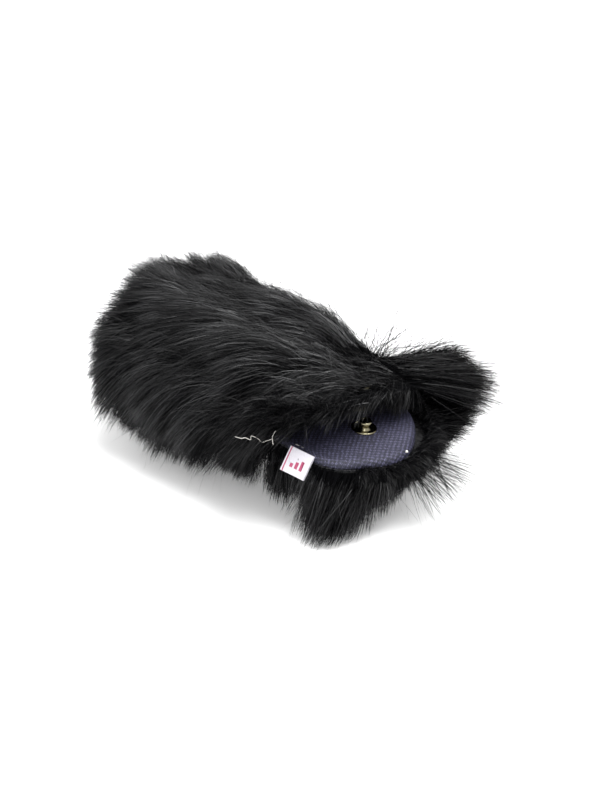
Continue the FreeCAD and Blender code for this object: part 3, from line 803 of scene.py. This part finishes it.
def sample(draw, count, run_low, run_high, around_low, around_high, keep=None):
    """Points spread evenly over a patch of the fur's back: trial points are kept in proportion to how
    much surface they stand for."""
    found = []
    left = count
    while left > 0:
        run = draw.uniform(run_low, run_high, 3 * count)
        around = draw.uniform(around_low, around_high, 3 * count)
        point, _ = on_back(run, around)
        wide, high, _ = section(point[:, 0], (0, 0, 0))
        polar = np.clip(0.5 * math.pi * (1 + run / NOSE_RUN), 0, 0.5 * math.pi)
        size = np.sin(polar) * np.hypot(wide * np.cos(around), high * np.sin(around)) / BACK[0, 0]
        good = draw.random(len(run)) < size
        if keep is not None:
            good &= keep(point, around)
        good &= np.abs(-around - parting(point[:, 0]) - 0.1) > 0.15
        chosen = np.stack([run, around], 1)[good][:left]
        found.append(chosen)
        left -= len(chosen)
    chosen = np.concatenate(found)
    return chosen[:, 0], chosen[:, 1]


def parting(x):
    """Where the pile parts along the label's side: how far round from the top, at x."""
    return np.interp(x / MM, [-70, -20, 34], [2.75, 2.25, 1.74])


def body_nap(draw, point, normal, around):
    """The nap over the body: back along -X, in locks that wander together, drooping on the flanks. At
    the top of the nose the pile stands up in tufts, and at the pole it is shorter. Below the parting it
    hangs."""
    x = point[:, 0] / MM
    count = len(x)
    nose = smooth((-48 - x) / 26)
    top = smooth((np.cos(around) - 0.1) / 0.7)
    flank = np.abs(np.sin(around))
    low = smooth((np.abs(around) - parting(point[:, 0]) - 0.1) / 0.3)
    wave = 0.26 * drift(1, point, 60 * MM) + 0.3 * drift(2, point, 22 * MM) + 0.14 * drift(7, point, 11 * MM)
    wave = wave + draw.normal(0, 0.12, count) * (1 + 1.5 * nose)
    wave = wave - (0.62 - 0.45 * nose) * smooth((0.9 - around) / 1.1)
    sideways = np.stack([0 * x, np.cos(around), -np.sin(around)], 1)
    heading = np.array([-1.0, 0, 0]) + sideways * wave[:, None]
    heading = heading - UP * (0.45 * flank * (1 - nose))[:, None]
    pole = smooth((-normal[:, 0] - 0.45) / 0.5)
    near = np.clip(-np.sin(around), 0, 1)
    length = BODY_LENGTH - NOSE_LESS * nose - POLE_LESS * pole - LOW_LESS * low - NEAR_LESS * near * nose
    length = length * (1 + 0.14 * drift(4, point, 24 * MM))
    length = length - NEAR_NOSE_LESS * smooth((-around - 1.4) / 0.4) * smooth((-25 - x) / 30)
    length = length * MM * draw.uniform(0.82, 1.08 + 0.22 * nose, count)
    raised = nose * top * (1 - pole)
    loft = 1 + 0.42 * drift(3, point, 28 * MM)
    forward = smooth((x + 25) / 30)
    far = smooth((np.sin(around) - 0.3) / 0.5) * forward
    spiky = 1 + draw.normal(0, 0.45, count) * raised
    rise = 0.92 + 0.85 * raised + 0.4 * forward * top - 0.7 * far - 0.25 * near - 0.3 * low
    rise = [rise * loft * spiky, (0.12 + 0.5 * raised) * loft * spiky]
    fall = 0.3 + 0.5 * flank * (1 - 0.5 * nose) + 0.4 * pole - 0.2 * raised + 0.3 * low
    # Painted shade: fibres are darker in the crease under the parting, on the hanging pile below it and on
    # the flanks, and lighter on the lit top; drift(5) adds random tone.
    crease_shade = np.exp(-(((-around - parting(point[:, 0]) + 0.12) / 0.3) ** 2)) * (1 - 0.6 * nose)
    shade = 0.95 * crease_shade + 0.7 * low + 0.3 * (1 - top) - 0.1 * top + 0.25 * drift(5, point, 24 * MM)
    return heading, length, rise, fall, 0.22, shade


SIDE_TURN = 1.35  # where the top panel's pile meets the base panel's, in radians from the top


def behind_front(point, around):
    """Whether a root lies behind the base's leaning front."""
    return point[:, 0] < leaning_front(point[:, 2]) - 1 * MM


def body_field(run_low, run_high, around_low, around_high, keep=None):
    """The pile of one patch of the cover's body, with its roots spread evenly over the patch."""

    def field(draw, tufts):
        run, around = sample(draw, tufts, run_low, run_high, around_low, around_high, keep)
        point, normal = on_back(run, around)
        return (point, normal, *body_nap(draw, point, normal, around))

    return field


def lip_field(draw, tufts):
    """The lip's pile sweeps back and down over its sides. On the far side it streams outwards, nearly
    level."""
    run_low, run_high = MOUTH_X - NOSE_FULL_X + 0.5 * MM, LIP_X - NOSE_FULL_X - 1.5 * MM

    def on_lip(point, around):
        return np.abs(around) < lip_edge(point[:, 0], (0, 0, 0))

    run, around = sample(draw, tufts, run_low, run_high, -1.9, 1.9, on_lip)
    point, normal = on_back(run, around)
    count = len(run)
    flank = np.sin(around)
    front = smooth((point[:, 0] - MOUTH_X) / (LIP_X - MOUTH_X))
    far = (flank > draw.uniform(0.5, 0.78, count)).astype(float)
    near = np.clip(-flank, 0, 1)
    sweep = np.stack([-0.6 + 0.1 * front, -0.75 + 0.25 * near, -0.15 - 0.5 * near], 1)
    outward = np.stack([0.74 + 0 * far, 0.68 + 0 * far, (47 * MM - point[:, 2]) / (45 * MM)], 1)
    heading = sweep * (1 - far)[:, None] + outward * far[:, None]
    heading = heading + drift(6, point, 20 * MM)[:, None] * [0, 0.15, 0.1] + draw.normal(0, 0.1, (count, 3))
    side = smooth(flank / 0.5)
    length = LIP_LENGTH - LIP_FRONT_LESS * front - LIP_SIDE_LESS * side + LIP_FAR_MORE * far
    length = length * MM * draw.uniform(0.78, 1.18, count)
    rise = [0.65 - 0.35 * side - 0.28 * far, 0.1 - 0.1 * far]
    fall = 0.4 + 0.35 * near - 0.25 * far
    # Painted shade: the lip's pile is darker on its near flank and on the far side's streaming pile.
    shade = 0.3 * near - 0.05 + 0.2 * far
    return point, normal, heading, length, rise, fall, 0.2, shade


def fringe_field(draw, tufts):
    """The eave of pile along the lip's front edge: it leaves the edge forwards, falls over it and is
    combed towards the label's side."""
    around = draw.uniform(-1.35, 1.25, tufts)
    run = LIP_X - NOSE_FULL_X - draw.uniform(0.2, 9, tufts) * MM
    reach = lip_edge(np.full(tufts, LIP_X), (0, 0, 0))
    back = np.clip((np.abs(around) - reach) / 0.9, 0, 1)
    run = run - back * 24 * MM
    point, normal = on_back(run, around)
    comb = np.stack([np.cos(around), -np.sin(around)], 1)
    heading = np.stack([0.2 - 0.3 * back, -0.9 * comb[:, 0], 0.8 * comb[:, 1] - 0.3], 1)
    heading = heading + draw.normal(0, 0.16, (tufts, 3))
    length = draw.uniform(*FRINGE_LENGTH, tufts) * MM
    return point, normal, heading, length, (0.4, 0), 0.5, 0.25, 0.4


# The tongue's pile by bearing from under its middle, from +X towards +Y: how steeply it climbs, and how
# long it is.
COMPASS = np.radians([-150, -110, -70, -48, -28, -14, 4, 18, 30, 44, 58, 75, 95, 130])
CLIMB = np.radians([-80, -78, -76, -74, -70, -78, -72, -48, -26, -12, 0, 8, 10, 14])
REACH = np.array([14, 21, 31, 36, 31, 15, 9, 9, 9, 9, 17, 35, 40, 30]) * MM


FAN_MIDDLE = np.array([46, 0]) * MM
FAN_REACH = 60 * MM
EDGE_SHARE = 0.45


def tongue_field(low, high):
    """The tongue's pile spreads like a fan from under its middle. Its climb goes from nearly straight
    down on the label's side, through forward and down at the tip, to a little upwards on the far side.
    A share of the tufts are rooted along the rim."""

    def field(draw, tufts):
        bearing = draw.uniform(low, high, tufts)
        ray = np.stack([np.cos(bearing), np.sin(bearing)], 1)
        reach = np.linspace(0, FAN_REACH, 240)
        trial = FAN_MIDDLE + ray[:, None] * reach[None, :, None]
        inside = (
            (np.abs(trial[..., 1]) < TONGUE_HALF - 0.6 * MM)
            & (trial[..., 0] < tongue_end(trial[..., 1]) - 0.6 * MM)
            & (trial[..., 0] > MOUTH_X + 1.5 * MM)
        )
        limit = reach[np.maximum(inside.sum(1) - 1, 0)]
        on_rim, rim_share = draw.random(tufts) < EDGE_SHARE, draw.uniform(0.93, 1.0, tufts)
        share = np.where(on_rim, rim_share, np.sqrt(draw.random(tufts)))
        spot = FAN_MIDDLE + ray * (limit * share)[:, None]
        z = tongue_height(spot[:, 0]) - (LINING + TONGUE_FOAM + SEAT + KNIT_THICK)
        root = np.stack([spot[:, 0], spot[:, 1], z], 1)
        climb = np.interp(bearing, COMPASS, CLIMB) - np.radians(34) * (1 - share**2)
        climb = climb + draw.normal(0, 0.10, tufts)
        heading = np.stack([np.cos(climb) * ray[:, 0], np.cos(climb) * ray[:, 1], np.sin(climb)], 1)
        lean = 0.5 * smooth((-0.1 - bearing) / 0.5) * smooth((bearing + 1.6) / 0.7)
        heading = heading - lean[:, None] * [0.68, 0.73, 0] * (1 + 0.3 * drift(8, root, 16 * MM))[:, None]
        normal = unit(np.stack([0.35 * ray[:, 0], 0.35 * ray[:, 1], np.full(tufts, -0.6)], 1))
        length = np.interp(bearing, COMPASS, REACH) * draw.uniform(0.6, 1.15, tufts)
        beside_label = np.linalg.norm(root[:, :2] - LABEL_HINGE[:2] - [0, 2 * MM], axis=1) < 6.5 * MM
        length = np.where(beside_label, 0.55 * length, length)
        fall = 0.6 * smooth((0.6 - bearing) / 1.6)
        # Painted shade: the pile hanging under the tongue is darker than usual, with random tone from
        # drift(9).
        shade = 0.24 + 0.25 * drift(9, root, 12 * MM)
        return root, normal, heading, length, (0.25, 0), fall, 0.25, shade

    return field


def rim_field(draw, tufts):
    """Short pile along the tongue's rim that stands up round the lining."""
    bearing = np.radians(draw.uniform(-38, 95, tufts))
    share = draw.uniform(0.90, 0.99, tufts)
    y = TONGUE_HALF * share * np.sin(bearing)
    x = TONGUE_STRAIGHT_X + (TONGUE_TIP - TONGUE_STRAIGHT_X) * share * np.cos(bearing)
    root = np.stack([x, y, tongue_height(x) - 3.4 * MM], 1)
    ray = np.stack([np.cos(bearing), np.sin(bearing), 0 * bearing], 1)
    heading = 0.9 * ray + draw.normal(0, 0.22, (tufts, 3)) + [0, 0, 0.1]
    length = draw.uniform(*RIM_LENGTH, tufts) * MM
    return root, np.tile(UP, (tufts, 1)), heading, length, (0.6, 0), 0.9, 0.4, 0.45


def tip_wisp_field(draw, tufts):
    """Thin long wisps from the tongue's tip on the far side, reaching forwards and down."""
    bearing = np.radians(draw.uniform(0, 32, tufts))
    x = TONGUE_STRAIGHT_X + (TONGUE_TIP - TONGUE_STRAIGHT_X) * 0.95 * np.cos(bearing)
    root = np.stack([x, TONGUE_HALF * 0.95 * np.sin(bearing), tongue_height(x) - 4.4 * MM], 1)
    heading = np.stack([np.cos(bearing), np.sin(bearing), -0.42 + 0 * bearing], 1)
    heading = heading + draw.normal(0, 0.16, (tufts, 3))
    length = draw.uniform(*TIP_WISP_LENGTH, tufts) * MM
    return root, np.tile(UP, (tufts, 1)), heading, length, (0.1, 0), 0.1, 0.4, 0.3


def corner_field(outward, longest, fall):
    """Pile at one corner of the mouth, between the lip and the tongue. outward is its heading, and its
    side is that of outward's Y."""
    side = math.copysign(1, outward[1])

    def field(draw, tufts):
        x = draw.uniform(26, 34, tufts) * MM
        around = side * draw.uniform(1.4, 2.0, tufts)
        point, normal = on_back(x - NOSE_FULL_X, around)
        heading = np.array(outward) + draw.normal(0, 0.11, (tufts, 3))
        length = longest * draw.uniform(0.8, 1.08, tufts)
        return point, normal, heading, length, (0.5, 0.1), fall, 0.3, 0.35

    return field


def wisp_field(draw, tufts):
    """A few long curled fibres that stand off the mouth's far corner."""
    x = draw.uniform(28, 46, tufts) * MM
    around = draw.uniform(0.45, 1.1, tufts)
    point, normal = on_back(x - NOSE_FULL_X, around)
    heading = np.array([0.5, 0.6, 0.42]) + draw.normal(0, 0.3, (tufts, 3))
    length = draw.uniform(*WISP_LENGTH, tufts) * MM
    return point, normal, heading, length, (0.3, 0.1), 0.2, 0.7, 0.2


def all_pile():
    """Every patch of pile: its body, seed, tufts, fibres in a tuft and field."""
    nose_end = float(run_at(NOSE_SEAM_X))
    body_end = MOUTH_X - NOSE_FULL_X
    thirds = np.linspace(nose_end, body_end, 4)
    over_nose = body_field(-NOSE_RUN, nose_end, -math.pi, math.pi)
    nose = pile("nose_pile", "cover", 11, 900, 22, over_nose, frizz=0.17, stray=0.08)
    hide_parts("fur_nose_panel")
    for number in range(3):
        field = body_field(thirds[number], thirds[number + 1], -SIDE_TURN, SIDE_TURN)
        part = pile(f"top_pile_{number + 1}", "cover", 21 + number, 850, 21, field)
        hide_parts("fur_top_panel")
    for seed, name, low, high in (
        (31, "base_pile_left", -math.pi, -SIDE_TURN),
        (32, "base_pile_right", SIDE_TURN, math.pi),
    ):
        part = pile(name, "cover", seed, 850, 20, body_field(nose_end, body_end, low, high, behind_front))
        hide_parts("fur_base_panel")
    lip = pile("lip_pile", "lip", 41, 640, 22, lip_field)
    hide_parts("lip_fur")
    pile("lip_fringe", "lip", 42, 380, 22, fringe_field, frizz=0.14, stray=0.06)
    for seed, name, low, high in (
        (51, "tongue_pile_left", -2.7, -0.45),
        (52, "tongue_pile_right", -0.45, 2.5),
    ):
        part = pile(name, "tongue", seed, 950, 21, tongue_field(low, high), stray=0.05)
        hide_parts("tongue_fur")
    pile("tongue_rim_pile", "tongue", 53, 240, 16, rim_field, spread=1 * MM, frizz=0.2, stray=0.08)
    pile("tongue_tip_wisps", "tongue", 54, 34, 7, tip_wisp_field, frizz=0.2, stray=0.1)
    right = corner_field((0.80, 0.68, -0.1), 46 * MM, 0.05)
    pile("corner_pile_right", "cover", 61, 300, 22, right, frizz=0.14, stray=0.06)
    left = corner_field((-0.35, -0.30, -0.55), 22 * MM, 0.5)
    pile("corner_pile_left", "cover", 62, 160, 20, left, frizz=0.16, stray=0.06)
    pile("corner_wisps", "lip", 63, 130, 2, wisp_field, spread=3 * MM, gather=0.1, frizz=0.3)


# ---------------------------------------------------------------- thread


def smooth_line(points, count):
    """A Catmull-Rom line through the points."""
    route = np.array(points, float)
    padded = np.concatenate([2 * route[:1] - route[1:2], route, 2 * route[-1:] - route[-2:-1]])
    place = np.linspace(0, len(route) - 1, count)
    left = np.minimum(place.astype(int), len(route) - 2)
    share = (place - left)[:, None]
    a, b, c, d = (padded[left + k] for k in range(4))
    curve = 2 * b + (c - a) * share + (2 * a - 5 * b + 4 * c - d) * share**2
    return 0.5 * (curve + (3 * b - a - 3 * c + d) * share**3)


def cross_frames(line):
    """Two directions square to the line at each point: its cross product with one fixed direction, and
    the line's cross product with that."""
    way = unit(np.gradient(line, axis=0))
    first = unit(np.cross(way, [0.31, 0.62, 0.72]))
    return first, np.cross(way, first)


PLIES = 2
TWIST = 900  # turns a metre


def turned(frames, angle):
    """Directions at an angle from the first towards the second of two frames."""
    return frames[0] * np.cos(angle) + frames[1] * np.sin(angle)


def yarn(points, radius, count, sides, start):
    """Points and faces of plies twisted about a line: each ply's middle turns about the line, and each
    ply is a closed tube whose radius pinches with the root of the sine at its ends. The faces count
    from start."""
    line = smooth_line(points, count)
    length = np.concatenate([[0], np.cumsum(np.linalg.norm(np.diff(line, axis=0), axis=1))])
    pinch = np.sqrt(np.clip(np.sin(math.pi * np.linspace(0, 1, count)) * 6, 0.02, 1))
    around = 2 * math.pi * np.arange(sides)[:, None] / sides
    vertices, faces = [], []
    for ply in range(PLIES):
        angle = 2 * math.pi * (TWIST * length + ply / PLIES)[:, None]
        middle = line + 0.48 * radius * turned(cross_frames(line), angle)
        frames = [frame[:, None] for frame in cross_frames(middle)]
        ring = turned(frames, around) * (0.56 * radius * pinch)[:, None, None]
        vertices.append((middle[:, None] + ring).reshape(-1, 3))
        index = start + (ply * count + np.arange(count))[:, None] * sides + np.arange(sides)
        after = np.roll(index, -1, axis=1)
        faces += np.stack([index[:-1], after[:-1], after[1:], index[1:]], -1).reshape(-1, 4).tolist()
        faces += [index[0, ::-1].tolist(), index[-1].tolist()]
    return np.concatenate(vertices), faces


def thread_piece(name, lines, radius, body, slot, material, count=14, sides=7):
    """One piece from several separate lengths of thread."""
    vertices, faces, start = [], [], 0
    for line in lines:
        points, sheath = yarn(line, radius, count, sides, start)
        vertices.append(points)
        faces += sheath
        start += len(points)
    mesh = bpy.data.meshes.new(name)
    mesh.from_pydata(np.concatenate(vertices), [], faces)
    closed_and_smooth(mesh)
    return add_piece(name, mesh, body, slot, material)


def mouth_stitches():
    """Evenly spaced stitches along the mouth's lower edge, each an arch along Y."""
    low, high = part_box("mouth_stitching")
    pitch, half = 3.6 * MM, 1.25 * MM
    count = int(round((high.y - low.y - 2.6 * MM) / pitch)) + 1
    x, foot, crest = 0.5 * (low.x + high.x), low.z + 0.1 * MM, low.z + 0.55 * MM
    middles = (np.arange(count) - 0.5 * (count - 1)) * pitch
    rows = [[(x, y - half, foot), (x, y, crest), (x, y + half, foot)] for y in middles]
    piece = thread_piece("mouth_stitch_row", rows, 0.28 * MM, "cover", "dark_thread", DARK_THREAD)
    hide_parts("mouth_stitching")


def label_stitches():
    """Four stitches across the label's sewn edge, each a low arch on the tongue's lining."""
    low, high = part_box("label_stitching")
    start, stop = np.array([low.x, low.y + 0.3 * MM]), np.array([high.x, high.y - 0.3 * MM])
    rows = []
    for number in range(4):
        share = (number + np.array([[0.12], [0.5], [0.88]])) / 4
        flat = start + (stop - start) * share
        rows.append(np.column_stack([flat, tongue_height(flat[:, 0]) - np.array([0.27, 0.13, 0.27]) * MM]))
    piece = thread_piece("label_stitch_row", rows, 0.15 * MM, "tongue", "white_thread", WHITE_THREAD)
    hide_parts("label_stitching")


def corner_bars():
    """A stack of nine short stitches in each corner of the mouth."""
    low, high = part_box("corner_tacks")
    x = 0.5 * (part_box("mouth_stitching")[0].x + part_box("mouth_stitching")[1].x)
    half, bow, crest = 0.9 * MM, 0.6 * MM, 0.1 * MM
    rows = []
    for y in (0.9 * MM - high.y, high.y - 0.9 * MM):
        for z in low.z + (high.z - low.z) * (np.arange(9) + 0.5) / 9:
            rows.append([(x - half, y, z), (x, y - math.copysign(bow, y), z + crest), (x + half, y, z)])
    piece = thread_piece("corner_tack_bars", rows, 0.3 * MM, "cover", "dark_thread", DARK_THREAD)
    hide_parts("corner_tacks")


def knot():
    """A small ball of thread: about three turns on a circle whose plane turns too."""
    low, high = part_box("thread_knot")
    middle = 0.5 * (np.array(low) + np.array(high))
    turn = np.linspace(0, 6.2 * math.pi, 26)
    swing = 0.31 * turn
    coil = np.stack([np.cos(turn) * np.cos(swing), np.sin(turn), np.cos(turn) * np.sin(swing)], 1)
    line = middle + 0.38 * MM * coil
    piece = thread_piece("tip_knot", [line], 0.26 * MM, "tongue", "white_thread", WHITE_THREAD, 110, 6)
    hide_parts("thread_knot")


# The loose thread's crinkled end and its short tail, in millimetres.
LOOSE_ENDS = (
    [
        (47.5, -46.4, 46.5), (45.4, -48.0, 45.3), (43.6, -49.0, 44.5), (42.0, -49.8, 45.8),
        (40.4, -51.4, 46.9), (39.4, -51.2, 46.3), (40.0, -52.2, 45.3), (39.0, -54.0, 46.5),
        (37.2, -54.8, 45.9), (35.4, -57.0, 46.8),
    ],
    [(47.2, -44.3, 49.5), (46.8, -45.7, 47.3), (47.4, -46.3, 45.4), (48.2, -46.7, 44.1)],
)


def loose_end():
    """The thread that hangs loose at the mouth's corner on the label's side."""
    lines = [np.array(end) * MM for end in LOOSE_ENDS]
    piece = thread_piece("loose_thread_end", lines, 0.12 * MM, "cover", "white_thread", WHITE_THREAD, 90)
    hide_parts("loose_thread")


# ---------------------------------------------------------------- label


LABEL_HALF = 6 * MM
LABEL_DROP = 10.6 * MM
LABEL_GAP = 0.42 * MM  # half the room inside the fold
LABEL_HANG = math.radians(30)


def folded_label():
    """A ribbon folded into a loop. Its path down the front leaf, round the fold and up the back leaf is
    a grid row, bowed a little across, in the frame of the label's hinge."""
    along_edge = -LABEL_AXIS
    square = unit(np.cross(UP, along_edge))
    plumb = np.cross(along_edge, square)
    hang = LABEL_HANG
    down = -plumb * math.cos(hang) - square * math.sin(hang)
    out = -square * math.cos(hang) + plumb * math.sin(hang)
    drop, gap = LABEL_DROP, LABEL_GAP
    turn = np.linspace(0, math.pi, 13)[1:-1]
    straight = np.linspace(0, drop, 24)
    depth = np.concatenate([straight, drop + gap * np.sin(turn), straight[::-1]])
    stand = np.concatenate([0 * straight + gap, gap * np.cos(turn), 0 * straight - gap])
    puff = 0.22 * MM * np.sin(math.pi * np.clip(depth / drop, 0, 1)) * np.sign(stand)
    side = np.linspace(-1, 1, 25)
    curl = 0.5 * MM * (depth / drop)[:, None] ** 2 * side**2
    away = (stand + puff)[:, None] + curl
    ribbon = LABEL_HINGE + LABEL_TUCK + depth[:, None, None] * down + away[..., None] * out
    ribbon = ribbon + (LABEL_HALF * side)[:, None] * along_edge
    facing = np.concatenate([0 * straight + 1, np.cos(turn), 0 * straight - 1])[:, None, None]
    tipped = np.concatenate([0 * straight, np.sin(turn), 0 * straight])[:, None, None]
    half_thick = 0.12 * MM * (facing * out + tipped * down)
    outer = ribbon + half_thick
    piece = add_layer("side_label", outer, ribbon - half_thick, "label", "woven_label", LABEL)
    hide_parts("label")


# ---------------------------------------------------------------- metal, floor, light and camera


def finish_metal():
    """Gives the press stud, its eyelet, the socket, its cap and its spring their finishes."""
    for name, material, slot in (
        ("press_stud", BRASS, "antique_brass"),
        ("stud_eyelet", BRASS, "antique_brass"),
        ("stud_socket", SHADED_BRASS, "antique_brass"),
        ("socket_cap", SHADED_BRASS, "antique_brass"),
        ("socket_spring", SPRING, "spring_steel"),
    ):
        part = frame["nodes"][name]
        part.data.materials.clear()
        part.data.materials.append(material)


FLOOR_HALF = 3.0
FLOOR_GLOW = 0.22
SURROUND = 1.05
LIGHTS = (  # name, place, width and power in watts
    ("key", (0.32, 0.05, 1.15), 1.0, 25),
    ("fill", (0.5, -0.8, 0.8), 0.8, 2),
)


def studio():
    """A pale floor that glows a little, one large soft light high on the far side, a weaker one on the
    near side and an even pale surround."""
    mesh = bpy.data.meshes.new("floor")
    corners = [(-1, -1, 0), (1, -1, 0), (1, 1, 0), (-1, 1, 0)]
    mesh.from_pydata(FLOOR_HALF * np.array(corners), [], [(0, 1, 2, 3)])
    floor = bpy.data.objects.new("floor", mesh)
    bpy.context.scene.collection.objects.link(floor)
    paper = Finish("pale_floor", Base_Color=(0.92, 0.92, 0.92, 1), Roughness=0.9)
    paper.shader.inputs["Emission Color"].default_value = (1, 1, 1, 1)
    paper.shader.inputs["Emission Strength"].default_value = FLOOR_GLOW
    mesh.materials.append(paper.material)
    world = bpy.data.worlds.new("studio")
    world.use_nodes = True
    backdrop = world.node_tree.nodes["Background"].inputs
    backdrop["Color"].default_value = (1, 1, 1, 1)
    backdrop["Strength"].default_value = SURROUND
    bpy.context.scene.world = world
    for name, place, width, power in LIGHTS:
        lamp = bpy.data.lights.new(name, "AREA")
        lamp.size, lamp.energy = width, power
        light = bpy.data.objects.new(name, lamp)
        bpy.context.scene.collection.objects.link(light)
        aim(light, np.array(place), np.array([0.0, 0.0, 0.04]))
    bpy.context.scene.view_settings.view_transform = "Standard"


def aim(thing, place, target):
    """Stands thing at place, looking at target."""
    back = unit(place - target)
    right = unit(np.cross(UP, back))
    up = np.cross(back, right)
    turned = Matrix([right, up, back]).transposed().to_4x4()
    thing.matrix_world = Matrix.Translation(place) @ turned


AZIMUTH = math.radians(47)
ELEVATION = math.radians(25)
DISTANCE = 0.9
LENS = 94
TARGET = np.array([32.7, -16.9, 50]) * MM


def camera():
    """A long lens that looks at the mouth from the label's side, a little from above."""
    level = math.cos(ELEVATION)
    back = np.array([math.sin(AZIMUTH) * level, -math.cos(AZIMUTH) * level, math.sin(ELEVATION)])
    lens = bpy.data.cameras.new("camera")
    lens.lens = LENS
    lens.clip_start, lens.clip_end = 0.05, 20
    eye = bpy.data.objects.new("camera", lens)
    bpy.context.scene.collection.objects.link(eye)
    aim(eye, TARGET + back * DISTANCE, TARGET)
    bpy.context.scene.camera = eye


camera()
studio()
body_layers()
tape_strips()
lip_layers()
tongue_layers()
all_pile()
mouth_stitches()
label_stitches()
corner_bars()
knot()
loose_end()
folded_label()
finish_metal()
